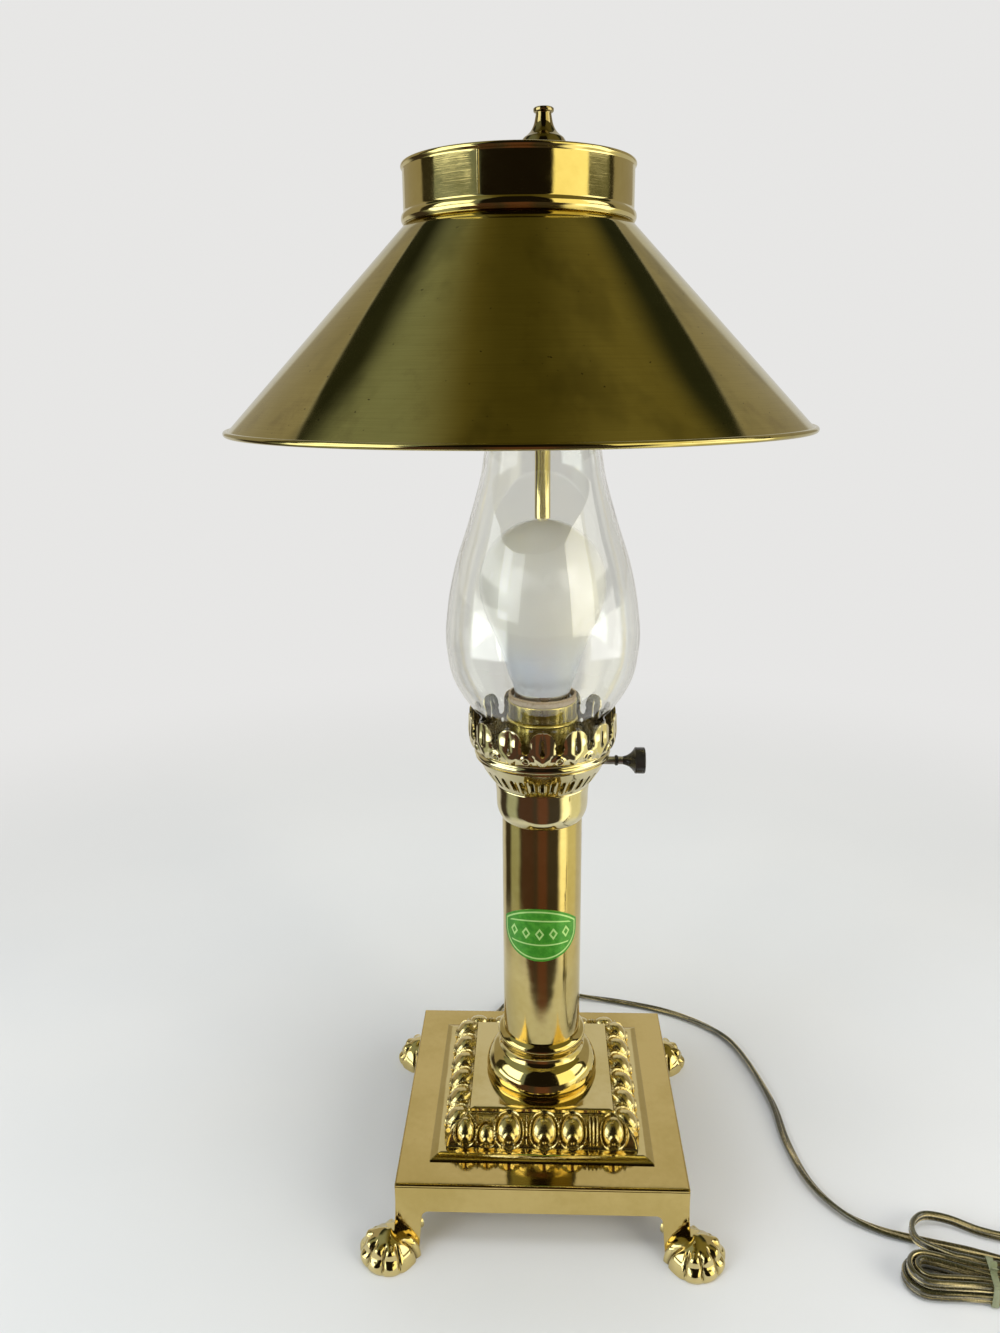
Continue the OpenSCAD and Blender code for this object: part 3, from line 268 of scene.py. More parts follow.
class Finish(Graph):
    """A material under way: its surface shader, its coordinates, and its patterns."""

    def __init__(self, name, **sockets):
        self.material = bpy.data.materials.new(name)
        self.material.use_nodes = True
        super().__init__(self.material.node_tree)
        self.shader = self.nodes["Principled BSDF"]
        self.coordinates = self.nodes.new("ShaderNodeTexCoord")
        for socket, value in sockets.items():
            self.set(socket, value)

    def set(self, socket, value):
        """Gives the shader's socket a constant or another node's output."""
        target = self.shader.inputs[socket.replace("_", " ")]
        if isinstance(value, bpy.types.NodeSocket):
            self.links.new(value, target)
        else:
            target.default_value = (*value, 1) if isinstance(value, tuple) else value

    def place(self, scale=(1, 1, 1), source="Object", turn=(0, 0, 0), shift=(0, 0, 0)):
        """The piece's own coordinates, stretched, turned and moved."""
        return self.add("ShaderNodeMapping", {
            "Vector": self.coordinates.outputs[source], "Scale": scale, "Rotation": turn, "Location": shift})

    def noise(self, scale, detail=3, roughness=0.5, where=None, distortion=0):
        """Cloudy values round 0.5, so many clouds to the metre."""
        return self.add("ShaderNodeTexNoise", {
            "Vector": where or self.coordinates.outputs["Object"], "Scale": scale, "Detail": detail,
            "Roughness": roughness, "Distortion": distortion})

    def relief(self, height, distance, strength=1.0, under=None):
        """Bumps of that height in metres, over other bumps if there are any."""
        inputs = {"Height": height, "Distance": distance, "Strength": strength}
        if under is not None:
            inputs["Normal"] = under
        return self.add("ShaderNodeBump", inputs)

    def layer(self, name):
        """A number stored at the piece's points."""
        return self.add("ShaderNodeAttribute", attribute_name=name, output=2)


def brass(name, tone, deep, rough, waves=0.0, grain=0.0, grain_scale=(1, 1, 1), specks=0.4,
          hollow_shade=False, coat=0.0):
    """Lacquered brass: cloudy colour from tone to deep, uneven gloss, dark specks, low waves from
    polishing, fine grain along one direction, painted shade (a dark brown and a softer gloss) where the
    layer 'hollow' is high, and a softer gloss where 'worn' is."""
    metal = Finish(name, Metallic=1.0, Coat_Weight=coat, Coat_Roughness=0.08)
    cloud = metal.noise(22, 4, 0.55)
    fine = metal.noise(260, 3, 0.6)
    colour = metal.blend(metal.span(metal.sum(cloud, metal.sum(fine, 0.25, "MULTIPLY")), 0.45, 0.85, 0, 1), tone, deep)
    pits = metal.noise(900, 2, 0.5)
    spots = metal.span(pits, 0.74, 0.80, 0, specks)
    colour = metal.blend(spots, colour, (0.07, 0.045, 0.015))
    gloss = metal.span(metal.sum(metal.noise(55, 5, 0.65), metal.sum(fine, 0.3, "MULTIPLY")), 0.4, 0.95, *rough)
    if hollow_shade:
        hollow = metal.layer("hollow")
        # Painted shade: the colour is mixed towards a dark brown where 'hollow' is high, in grooves and on inner walls.
        colour = metal.blend(metal.span(hollow, 0.0, 1.0, 0, 0.9), colour, (0.10, 0.062, 0.018))
        gloss = metal.sum(gloss, metal.sum(hollow, 0.22, "MULTIPLY"))
        gloss = metal.sum(gloss, metal.sum(metal.layer("worn"), 0.13, "MULTIPLY"))
    metal.set("Base_Color", colour)
    metal.set("Roughness", gloss)
    normal = metal.relief(fine, 0.00004, 0.35)
    if waves:
        normal = metal.relief(metal.noise(48, 2, 0.4), waves, 1.0, normal)
    if grain:
        lines = metal.noise(1.0, 4, 0.7, metal.place(grain_scale))
        normal = metal.relief(lines, grain, 0.6, normal)
    metal.set("Normal", normal)
    return metal.material


def shade_brass():
    """Spun brass of the cone: fine rings, broad smudges, dull streaks down the slope, tarnish and small
    dark specks."""
    metal = Finish("spun_brass", Metallic=1.0)
    rings = metal.noise(1.0, 5, 0.75, metal.place((26, 26, 2600)))
    smudge = metal.noise(16, 5, 0.6, distortion=0.6)
    stain = metal.noise(42, 6, 0.65)
    streak = metal.noise(1.0, 3, 0.55, metal.place((34, 34, 2.5)))
    colour = metal.blend(metal.span(smudge, 0.35, 0.7, 0, 1), (0.54, 0.46, 0.185), (0.47, 0.39, 0.14))
    colour = metal.blend(metal.span(rings, 0.35, 0.75, 0, 0.35), colour, (0.32, 0.26, 0.09))
    colour = metal.blend(metal.span(stain, 0.56, 0.74, 0, 0.45), colour, (0.30, 0.23, 0.09))
    colour = metal.blend(metal.span(streak, 0.50, 0.68, 0, 0.55), colour, (0.25, 0.21, 0.075))
    colour = metal.blend(metal.span(metal.noise(520, 2, 0.5), 0.73, 0.78, 0, 0.8), colour, (0.05, 0.032, 0.012))
    metal.set("Base_Color", colour)
    metal.set("Roughness", metal.span(metal.sum(stain, metal.sum(rings, 0.4, "MULTIPLY")), 0.5, 0.95, 0.045, 0.10))
    metal.set("Normal", metal.relief(rings, 0.00002, 0.3, metal.relief(metal.noise(30, 2, 0.4), 0.00012, 0.5)))
    return metal.material


def glass(name, tint, rough=0.0):
    """Clear blown glass with faint waves in it."""
    clear = Finish(name, Base_Color=tint, Roughness=rough, IOR=1.46, Transmission_Weight=1.0, Coat_Weight=0.5,
                   Coat_Roughness=0.0)
    clear.set("Normal", clear.relief(clear.noise(34, 2, 0.4), 0.0005, 0.35))
    return clear.material


def plain(name, colour, second, rough, scale=180, bump=0.00003, **sockets):
    """A moulded, printed or machined surface: two close colours in fine clouds, and a fine bump."""
    made = Finish(name, **sockets)
    cloud = made.noise(scale, 4, 0.6)
    made.set("Base_Color", made.blend(made.span(cloud, 0.35, 0.7, 0, 1), colour, second))
    made.set("Roughness", made.span(cloud, 0.3, 0.75, rough, rough * 1.5))
    made.set("Normal", made.relief(made.noise(scale * 6, 3, 0.6), bump, 0.6))
    return made.material


def bulb_white():
    """Frosted glass of the bulb: warm white, turning to a bluish white on the neck."""
    white = Finish("frosted_white", Coat_Weight=0.3, Coat_Roughness=0.12, IOR=1.5)
    cloud = white.noise(60, 4, 0.6)
    height = white.add("ShaderNodeSeparateXYZ", {0: white.coordinates.outputs["Object"]}, "Z")
    tone = white.blend(white.span(height, 0.278, 0.302, 0, 1), (0.82, 0.88, 0.97), (0.97, 0.955, 0.86))
    white.set("Base_Color", white.blend(white.span(cloud, 0.35, 0.7, 0, 0.4), tone, (0.92, 0.92, 0.87)))
    white.set("Roughness", white.span(cloud, 0.3, 0.75, 0.18, 0.28))
    white.set("Normal", white.relief(white.noise(420, 3, 0.6), 0.00002, 0.5))
    return white.material


def cord_finish():
    """Clear gold jacket over twisted strands. The layer 'core' is 1 on the crest of each half and 0 at its
    outer side, 'run' is the way along the cord in millimetres and 'around' the angle round the half:
    dark and bright lines run along the cord, and painted shade darkens the groove and the outer sides."""
    jacket = Finish("clear_gold_cord", IOR=1.5, Coat_Weight=1.0, Coat_Roughness=0.05)
    core, run, around = (jacket.layer(name) for name in ("core", "run", "around"))
    lines = jacket.noise(1.0, 4, 0.7, jacket.add("ShaderNodeCombineXYZ", {
        0: jacket.sum(run, 0.02, "MULTIPLY"), 1: jacket.sum(around, 0.9, "MULTIPLY")}))
    twist = jacket.noise(1.0, 2, 0.6, jacket.add("ShaderNodeCombineXYZ", {
        0: jacket.sum(run, 0.9, "MULTIPLY"), 1: jacket.sum(around, jacket.sum(run, 0.5, "MULTIPLY"))}))
    colour = jacket.blend(jacket.span(lines, 0.50, 0.61, 0, 1), (0.028, 0.024, 0.008), (0.88, 0.72, 0.36))
    colour = jacket.blend(jacket.span(twist, 0.45, 0.7, 0, 0.25), colour, (0.22, 0.15, 0.05))
    # Painted shade: the colour turns near black where 'core' is low, on the outer sides and in the groove.
    colour = jacket.blend(jacket.span(core, 0.1, 0.62, 0.88, 0), colour, (0.035, 0.035, 0.015))
    jacket.set("Base_Color", colour)
    jacket.set("Metallic", jacket.span(lines, 0.46, 0.60, 0.05, 0.55))
    jacket.set("Roughness", jacket.span(twist, 0.3, 0.8, 0.2, 0.34))
    jacket.set("Normal", jacket.relief(twist, 0.00006, 0.5))
    return jacket.material


def label_finish():
    """Green foil with a light line inside its edge and a row of small light diamonds. The label's
    own map runs from 0 to 1 across and up."""
    foil = Finish("green_label", Coat_Weight=0.3, Coat_Roughness=0.12, Metallic=0.4)
    edge = foil.layer("edge")
    mark = foil.layer("mark")
    field = foil.noise(420, 3, 0.6)
    green = foil.blend(foil.span(field, 0.35, 0.7, 0, 1), (0.045, 0.27, 0.02), (0.08, 0.36, 0.03))
    light_green = (0.46, 0.74, 0.26)
    green = foil.blend(foil.span(edge, 0.35, 0.65, 0, 1), green, light_green)
    green = foil.blend(foil.span(mark, 0.35, 0.65, 0, 1), green, light_green)
    foil.set("Base_Color", green)
    foil.set("Roughness", foil.span(field, 0.3, 0.7, 0.28, 0.42))
    foil.set("Normal", foil.relief(field, 0.00003, 0.5))
    return foil.material


polished = brass("polished_brass", (0.70, 0.57, 0.24), (0.58, 0.46, 0.16), (0.05, 0.12), waves=0.0004)
cast = brass("cast_brass", (0.68, 0.52, 0.20), (0.58, 0.435, 0.145), (0.06, 0.13), waves=0.0001, coat=0.15)
carved = brass("carved_brass", (0.75, 0.62, 0.30), (0.65, 0.52, 0.21), (0.06, 0.13), waves=0.0002, hollow_shade=True)
pale = brass("pale_brass", (0.80, 0.73, 0.47), (0.70, 0.61, 0.33), (0.05, 0.11), waves=0.0003, hollow_shade=True)
column_brass = brass("column_brass", (0.66, 0.54, 0.24), (0.56, 0.44, 0.16), (0.07, 0.15), waves=0.0003,
                     grain=0.00003, grain_scale=(700, 700, 8))
collar_brass = brass("collar_brass", (0.62, 0.52, 0.22), (0.54, 0.43, 0.16), (0.05, 0.12), waves=0.0002,
                     grain=0.00002, grain_scale=(20, 20, 1800))
bright = brass("bright_brass", (0.76, 0.65, 0.32), (0.66, 0.54, 0.22), (0.08, 0.16), grain=0.00003,
               grain_scale=(30, 30, 1500))
socket_brass = brass("socket_brass", (0.74, 0.62, 0.20), (0.64, 0.52, 0.14), (0.20, 0.30), grain=0.00004,
                     grain_scale=(30, 30, 1500))
# A darker copy of the brass for the finial alone: painted shade, for the dark room that the finial mirrors.
shaded_finial_brass = brass("shaded_finial_brass", (0.42, 0.35, 0.17), (0.28, 0.22, 0.09), (0.05, 0.12), waves=0.0003)
spun = shade_brass()
steel = plain("plated_steel", (0.50, 0.50, 0.50), (0.38, 0.38, 0.37), 0.28, Metallic=1.0)
black = plain("black_phenolic", (0.012, 0.011, 0.010), (0.022, 0.020, 0.018), 0.24, Coat_Weight=0.3)
brown = plain("brown_phenolic", (0.06, 0.035, 0.02), (0.09, 0.05, 0.03), 0.4)
card = plain("card", (0.66, 0.52, 0.34), (0.55, 0.41, 0.24), 0.6, scale=600)
screw_metal = plain("pale_screw_metal", (0.62, 0.60, 0.52), (0.50, 0.47, 0.38), 0.25, Metallic=1.0)
stem_glass = plain("stem_glass", (0.75, 0.78, 0.78), (0.68, 0.72, 0.74), 0.1, Transmission_Weight=0.6)
frosted = bulb_white()
chimney_glass = glass("chimney_glass", (0.985, 0.995, 0.99))
tie_plastic = plain("clear_tie", (0.46, 0.50, 0.33), (0.38, 0.42, 0.26), 0.18, Transmission_Weight=0.55)
plug_plastic = plain("clear_gold_plug", (0.42, 0.33, 0.13), (0.34, 0.25, 0.09), 0.25, Transmission_Weight=0.3,
                     Coat_Weight=0.4)
cord_plastic = cord_finish()
foil_green = label_finish()


# ---- Camera ---------------------------------------------------------------------------------

yaw, pitch, roll = (math.radians(a) for a in (-2.24, 15.851, -0.527))
ahead = np.array([math.sin(yaw) * math.cos(pitch), math.cos(yaw) * math.cos(pitch), -math.sin(pitch)])
level = np.array([math.cos(yaw), -math.sin(yaw), 0.0])
above = np.cross(level, ahead)
right = level * math.cos(roll) + above * math.sin(roll)
top = above * math.cos(roll) - level * math.sin(roll)
camera = bpy.data.objects.new("camera", bpy.data.cameras.new("camera"))
camera.data.lens = 27.735
camera.data.sensor_width = 36
camera.matrix_world = Matrix(np.vstack([
    np.column_stack([right, top, -ahead, np.array([-1.85, -476.33, 412.61]) * MM]), [0, 0, 0, 1]]).tolist())
bpy.context.scene.collection.objects.link(camera)
bpy.context.scene.camera = camera


# ---- Cord, hank, tie and plug ----------------------------------------------------------------

cord_w, cord_t = 5.0, 2.6
hank_x, hank_y, hank_turn = 230.0, -93.0, math.radians(-10)
hank_run, hank_start, hank_turns = 100.0, -2 / 24, 4
hank_inner, hank_step, hank_dip, hank_low, hank_lift = 4.2, 3.4, 3.5, 3.4, 5.6
tail_len, plug_z = 33.4, 5.8


def hank_radius(s):
    return hank_inner + hank_step * np.abs(s - hank_turns / 2)


def waist(u):
    return hank_dip * (1 - (2 * u / hank_run) ** 4) ** 2


def in_hank(u, v, z):
    """A point of the hank's own plan, turned and moved to where the hank lies."""
    return np.stack([hank_x + u * np.cos(hank_turn) - v * np.sin(hank_turn),
                     hank_y + u * np.sin(hank_turn) + v * np.cos(hank_turn), z + 0 * u], -1)


def hank_line(s):
    """Upright loops: a turn s to s + 1 is a straight run drawn in at the waist, a half circle, the run
    back and the second half circle. The radius shrinks over the upper turns and grows again below."""
    r, whole = hank_radius(s), s + 0.125 - np.floor(s + 0.125)
    part = whole % 0.25
    x, a, half = hank_run * 4 * part - hank_run / 2, np.radians(720 * part), hank_run / 2
    quarter = np.minimum((whole * 4).astype(int), 3)
    u = np.choose(quarter, [x, half + r * np.sin(a), -x, -half - r * np.sin(a)])
    v = np.choose(quarter, [r - waist(x), r * np.cos(a), waist(x) - r, -r * np.cos(a)])
    z = hank_low + hank_lift * (1 - ease((s - hank_turns / 2) / 0.2 + 0.5))
    return in_hank(u, v, z)


# The free stretch from the bushing under the base to the hank: x, y, z and roll in degrees
cord_route = np.array([
    [0, 0, 27.8, 0], [0, 0, 22.8, 0], [-0.5, 2, 16, 0], [-2, 8, 9, 0], [-5, 18, 4.5, 0],
    [-11, 33, 2, 0], [-20, 58, 1.6, 0], [-29, 85, 1.6, 0], [-32, 109, 1.8, 20],
    [-24, 129, 2.7, 60], [-6, 140, 2.8, 75], [17, 142, 2.7, 60], [48, 137, 1.7, 10],
    [80, 127, 1.6, 0], [104, 113, 1.8, 20], [120, 95, 2.5, 50], [129, 68, 2.7, 60],
    [135, 35, 2.4, 45], [136, 5, 1.8, 20], [141, -24, 2.3, 40], [152, -44, 2.4, 45],
    [166, -54, 1.8, 20], [183, -60, 1.6, 0], [207, -66.5, 1.6, 0], [228, -73.5, 1.9, 30],
    [241, -75.5, 2.8, 70], [249.5, -73, 2.8, 90], [253.5, -67.5, 2.8, 90],
    [251.5, -61.5, 2.8, 90], [244, -58.5, 2.8, 90], [230, -59.5, 3, 90], [216, -56, 3.5, 90],
    [203, -50, 4.4, 90], [191.5, -49, 5.5, 90], [184, -54.5, 6.2, 90], [181.5, -62, 6.8, 90],
    [183.5, -69, 7.8, 90]])
loop_fine = 3
coarse = hank_line(hank_start + np.arange(2) / 24)
start_way = unit(coarse[1] - coarse[0])
route = np.vstack([cord_route[:, :3], coarse[0] - 5 * start_way, coarse[0]])
free = spline(route, 6)
free_roll = np.interp(np.arange(len(free)) / 6, np.arange(len(route)), [*cord_route[:, 3], 90, 90])
loop_s = hank_start + np.arange(1, loop_fine * (24 * hank_turns + 5) + 1) / (24 * loop_fine)
loops = hank_line(loop_s)
share = np.linspace(0.04, 1, 25)
tail_v = hank_radius(hank_turns + 0.125)
tail = in_hank(hank_run / 2 + tail_len * share, tail_v + 0 * share,
               hank_low + (plug_z - hank_low) * ease(share / 0.85))
cord_line = np.vstack([free, loops, tail])
tail_roll = 90 * (1 - ease((np.arange(len(tail)) + 1) / len(tail) / 0.7))
cord_roll = np.radians(np.concatenate([free_roll, np.full(len(loops), 90.0), tail_roll]))
heading = unit(np.gradient(cord_line, axis=0))
heading[0] = (0, 0, -1)
beside = unit(np.stack([heading[:, 1] + 1e-5, -heading[:, 0], 0 * heading[:, 0]], 1))
upward = np.cross(beside, heading)
cord_across = beside * np.cos(cord_roll)[:, None] + upward * np.sin(cord_roll)[:, None]
cord_over = upward * np.cos(cord_roll)[:, None] - beside * np.sin(cord_roll)[:, None]

# The section: two round halves that touch, with a groove between them on both sides
lobe = arc((cord_w - cord_t) / 2, 0, cord_t / 2, -142, 142, 13)
cord_section = np.vstack([lobe, -lobe])
core_side = np.tile(np.sin(np.radians(np.linspace(-142, 142, 14))) ** 2, 2)
cord_core = np.concatenate([np.tile(core_side, len(cord_line)), [0, 0]])
half_turn = np.radians(np.linspace(-142, 142, 14))
cord_around = np.concatenate([np.tile([*half_turn, *(half_turn + 7)], len(cord_line)), [0, 0]])
cord_run = np.concatenate([[0], np.cumsum(np.linalg.norm(np.diff(cord_line, axis=0), axis=1))])
cord_run = np.concatenate([np.repeat(cord_run, len(cord_section)), cord_run[[0, -1]]])
power_cord = swept("power_cord", cord_line, cord_across, cord_over, cord_section, "lamp", "cord_clear",
                   cord_plastic, ("cord_run", "cord_hank"), crease=60, core=cord_core,
                   run=cord_run, around=cord_around)

# The tie: a flat band round the hank, and its two ends, which stand up and lean apart
tie_u, tie_w, tie_t = -22.0, 3.0, 0.5
tie_room, tie_over = 0.75, 0.3
tie_back = hank_radius(0) - waist(tie_u) + cord_t / 2 + tie_room + tie_t / 2
tie_front = hank_radius(hank_turns - 0.5) - waist(tie_u) + cord_t / 2 + tie_room + tie_t / 2
tie_high = hank_low + hank_lift + cord_w / 2 + tie_over + tie_t / 2
tie_low = hank_low - cord_w / 2 - tie_over - tie_t / 2
r_tie = 1.4
band = join(arc(tie_back - r_tie, tie_low + r_tie, r_tie, -90, 0, 5), arc(tie_back - r_tie, tie_high - r_tie, r_tie, 0, 90, 5),
            [[2.0, tie_high], [1.1, tie_high + 0.6], [1.2, tie_high + 2.0], [2.2, tie_high + 4.0]])
band = join([[2.4, tie_high + 4.2]], band[::-1], [[0, tie_low]],
            arc(-tie_front + r_tie, tie_low + r_tie, r_tie, -90, -180, 5),
            arc(-tie_front + r_tie, tie_high - r_tie, r_tie, 180, 90, 5),
            [[-0.8, tie_high], [0.1, tie_high + 0.7], [-0.1, tie_high + 2.0], [-1.4, tie_high + 4.0]])
band = spline(band, 3)
way = unit(np.gradient(band, axis=0))
tie_line = in_hank(tie_u + 0 * band[:, 0], band[:, 0], band[:, 1])
tie_across = np.tile(in_hank(np.array(1.0), np.array(0.0), 0) - in_hank(np.array(0.0), np.array(0.0), 0), (len(band), 1))
tie_over_way = (in_hank(0 * way[:, 0], -way[:, 1], way[:, 0]) - in_hank(0 * way[:, 0], 0 * way[:, 0], 0))
tie_section = np.array([[-1.5, -0.1], [-0.9, -0.25], [0.9, -0.25], [1.5, -0.1], [1.5, 0.1], [0.9, 0.25], [-0.9, 0.25],
                        [-1.5, 0.1]])
hank_tie = swept("hank_tie", tie_line, tie_across, tie_over_way, tie_section, "lamp", "tie_clear", tie_plastic,
                 ("cord_tie",), crease=50)

# The plug: rounded-square rings that grow from the cord to the body, with ribs on the grip
plug_l, plug_w, plug_t = 26.0, 24.0, 11.0
ring_x = np.array([0, 0.6, 2, 4, 5.6, 6.4, 8, 10, 12, 14, 16, 18, 20, 22, 24, 25.3, 26])
ring_w = np.array([8.0, 9.0, 9.0, 9.2, 11, 17, 21.5, 23.2, 24, 24, 23.4, 22.8, 22.8, 23.4, 24, 23.6, 22.4])
ring_t = np.array([5.8, 6.6, 6.6, 6.8, 7.4, 9, 10.2, 10.8, 11, 10.6, 10.0, 9.7, 9.8, 10.4, 11, 10.7, 9.8])
around = np.arange(40) / 40 * TURN
square_cos = np.sign(np.cos(around)) * np.abs(np.cos(around)) ** 0.55
square_sin = np.sign(np.sin(around)) * np.abs(np.sin(around)) ** 0.55
plug_start = in_hank(np.array(hank_run / 2 + tail_len), np.array(tail_v), plug_z)
along_x = in_hank(np.array(1.0), np.array(0.0), 0) - in_hank(np.array(0.0), np.array(0.0), 0)
across_y = in_hank(np.array(0.0), np.array(1.0), 0) - in_hank(np.array(0.0), np.array(0.0), 0)
fine_x = np.linspace(0, plug_l, 66)
fine_w = np.interp(fine_x, ring_x, ring_w) / 2
fine_t = np.interp(fine_x, ring_x, ring_t) / 2 - 0.35 * (np.sin(fine_x * TURN / 2.4) > 0.3) * ((fine_x > 12) & (fine_x < 22))
plug_points = (plug_start + fine_x[:, None, None] * along_x
               + (fine_w[:, None] * square_cos)[..., None] * across_y
               + (fine_t[:, None] * square_sin)[..., None] * np.array([0, 0, 1.0])).reshape(-1, 3)
ends = np.array([plug_start, plug_start + plug_l * along_x])
ring = np.arange(40)
last = 65 * 40
plug_faces = [grid_faces(66, 40, False, True)[:, ::-1],
              np.stack([np.full(40, 66 * 40), np.roll(ring, -1), ring], 1),
              np.stack([np.full(40, 66 * 40 + 1), last + ring, last + np.roll(ring, -1)], 1)]
plug = add_piece("plug", np.vstack([plug_points, ends]), plug_faces, "lamp", "cord_clear", plug_plastic,
                 ("plug_body",), crease=50)


# ---- Base, plinth and paws --------------------------------------------------------------------

half, base_h, z_apron = 71.0, 38.0, 22.5
leg_w, flare, cutout_r, apron_t = 13.0, 2.0, 3.0, 4.0


def square_way(places):
    """Unit square walked once, anticlockwise from the front right corner: each side's places run from -1
    to 1. Gives the (x, y) direction of every place, and the side's number."""
    side = np.concatenate([np.full(len(places), k) for k in range(4)])
    c = np.tile(places, 4)
    x = np.choose(side, [1 + 0 * c, -c, -1 + 0 * c, c])
    y = np.choose(side, [c, 1 + 0 * c, -c, -1 + 0 * c])
    return np.stack([x, y], 1), side, c


def base_casting():
    """The casting's outer skin, as rows down from the top's middle, over the edge and to the feet, on
    columns round the square. A row's place is its size times the direction; below the apron a leg leans
    out by flare. Cells between the legs are left out, and their corners follow a quarter circle. The
    inner skin is the same, held apron_t inside the outer walls and under the top."""
    inner = half - leg_w
    corner = np.radians(np.linspace(0, 90, 9))
    arc_x = inner - cutout_r * (1 - np.sin(corner))
    out = np.concatenate([np.linspace(0, arc_x[0], 12)[:-1], arc_x, [inner + 3, inner + 6, half - apron_t, half - 1.8, half - 0.5]])
    drop = np.concatenate([np.zeros(11), cutout_r * (1 - np.cos(corner)), np.full(5, cutout_r)])
    places = np.concatenate([[-half], -out[::-1][:-1], out])
    drops = np.tile(np.concatenate([[cutout_r], drop[::-1][:-1], drop]), 4)
    way, side, c = square_way(places / half)
    way[np.abs(c) == 1] *= 1 - 0.16 / half
    sizes = np.array([9, 30, 52, 64, 69.8, 70.5, 70.85, 71, 71, 70.75, 70.75, 71, 71, 71])
    heights = np.array([38, 38, 38, 38, 38, 37.9, 37.65, 37.3, 36.8, 36.65, 36.35, 36.2, 32, 27])
    rows = [np.column_stack([way * s, np.full(len(way), z)]) for s, z in zip(sizes, heights)]
    low = z_apron - drops
    foot_rows = [low] + [(z_apron - cutout_r) * (1 - share) + 0 * low for share in (0.25, 0.5, 0.75, 1.0)]
    rows += [np.column_stack([way * half, z]) for z in foot_rows]
    skin = np.array(rows)
    inner_sizes = np.where(np.append(sizes, np.full(len(foot_rows), half)) > half - apron_t, half, 0)
    flat = np.where(inner_sizes[:, None, None] > 0, way[None] * half, skin[..., :2])
    flat = np.clip(flat, -half + apron_t, half - apron_t)
    inside = np.concatenate([flat, np.minimum(skin[..., 2:], base_h - apron_t)], -1)
    lean = flare * np.clip(1 - skin[..., 2:] / z_apron, 0, 1) * np.sign(way) * (np.abs(way) > 0.8)
    skin[..., :2] += lean
    inside[..., :2] += lean
    n_cols = skin.shape[1]
    faces = grid_faces(len(rows), n_cols, False, True)
    row, col = faces[:, 0] // n_cols, faces[:, 0] % n_cols
    leg = np.abs(c) * half >= inner - 1e-6
    keep = (row < len(sizes)) | (leg[col] & leg[(col + 1) % n_cols])
    points, walls = shell(skin.reshape(-1, 3), inside.reshape(-1, 3), [faces[keep]])
    add_piece("base_casting", points, walls, "lamp", "cast_brass", cast, ("base_frame",), crease=32, weld=True)


base_casting()

plinth_out, plinth_h = 55.5, 16.0
bevel_w, bevel_h, border_out, plateau_half, plateau_edge = 4.0, 2.0, 48.0, 36.3, 1.4
border_run = 19.0

# Carved eggs along a side of the border: place of the middle, half width, half height, middle's height
front_eggs = np.array([[-38.2, 5.4, 7.8, 9.0], [-27.6, 5.1, 6.2, 7.0], [-16.4, 7.5, 9.3, 9.5], [1.3, 7.5, 9.3, 9.5],
                       [15.4, 7.1, 9.2, 9.5], [35.8, 6.6, 9.0, 9.4]])
side_eggs = np.array([[-36.3, 6.6, 9.1, 9.5], [-21.7, 7.0, 9.3, 9.5], [-7.2, 7.0, 9.3, 9.5], [7.2, 7.0, 9.3, 9.5],
                      [21.7, 7.0, 9.3, 9.5], [36.3, 6.6, 9.1, 9.5]])


def carving(s, t, eggs):
    """Relief of the border at s along the side and t up it, in millimetres. With q the distance from an
    egg's middle as a share of its size, an egg is a dome inside q = 0.82, then a groove, then a round
    raised shell at q = 0.97; a small arch with its own groove stands at its foot. A dart stands between
    two eggs, and three leaf strokes where there is more room. The ground lies lower than the frame."""
    ground = -0.7 * ease(t / 0.8) * ease((border_run - t) / 0.5)
    height = ground.copy()
    for middle, wide, tall, level in eggs:
        up = (t - level) / tall
        across = (s - middle) / (wide * (1 - 0.10 * up))
        q = np.sqrt(across ** 2 + up ** 2)
        dome = 0.2 + 3.6 * np.sqrt(np.clip(1 - (q / 0.82) ** 2, 0, 1))
        shell_rim = 2.2 * np.exp(-((q - 0.97) / 0.10) ** 2)
        foot = np.sqrt(((s - middle) / (0.42 * wide)) ** 2 + ((t - 1.8) / (0.58 * tall)) ** 2)
        arch = 0.7 * np.exp(-((foot - 1.0) / 0.14) ** 2) - 2.0 * np.exp(-(foot / 0.8) ** 6) + 1.5 * np.exp(-(foot / 0.42) ** 4)
        height = np.maximum(height, ground + np.maximum(dome * (q < 0.82), shell_rim) + arch * (q < 0.9))
    for left, right in zip(eggs[:-1], eggs[1:]):
        start, room = left[0] + left[1], right[0] - right[1] - left[0] - left[1]
        strokes = [(0.5, 0.45 + 0.12 * room)] if room < 5 else [(0.22, 0.8), (0.5, 0.9), (0.8, 0.9)]
        for aside, width in strokes:
            place = start + room * (aside + 0.12 * (0.5 - aside) * (1 - t / border_run))
            ridge = 2.6 * np.sqrt(np.clip(1 - ((s - place) / width) ** 2, 0, 1))
            height = np.maximum(height, ground + ridge * ease((t - 0.6) / 3) * ease((border_run - 0.8 - t) / 3))
    return height


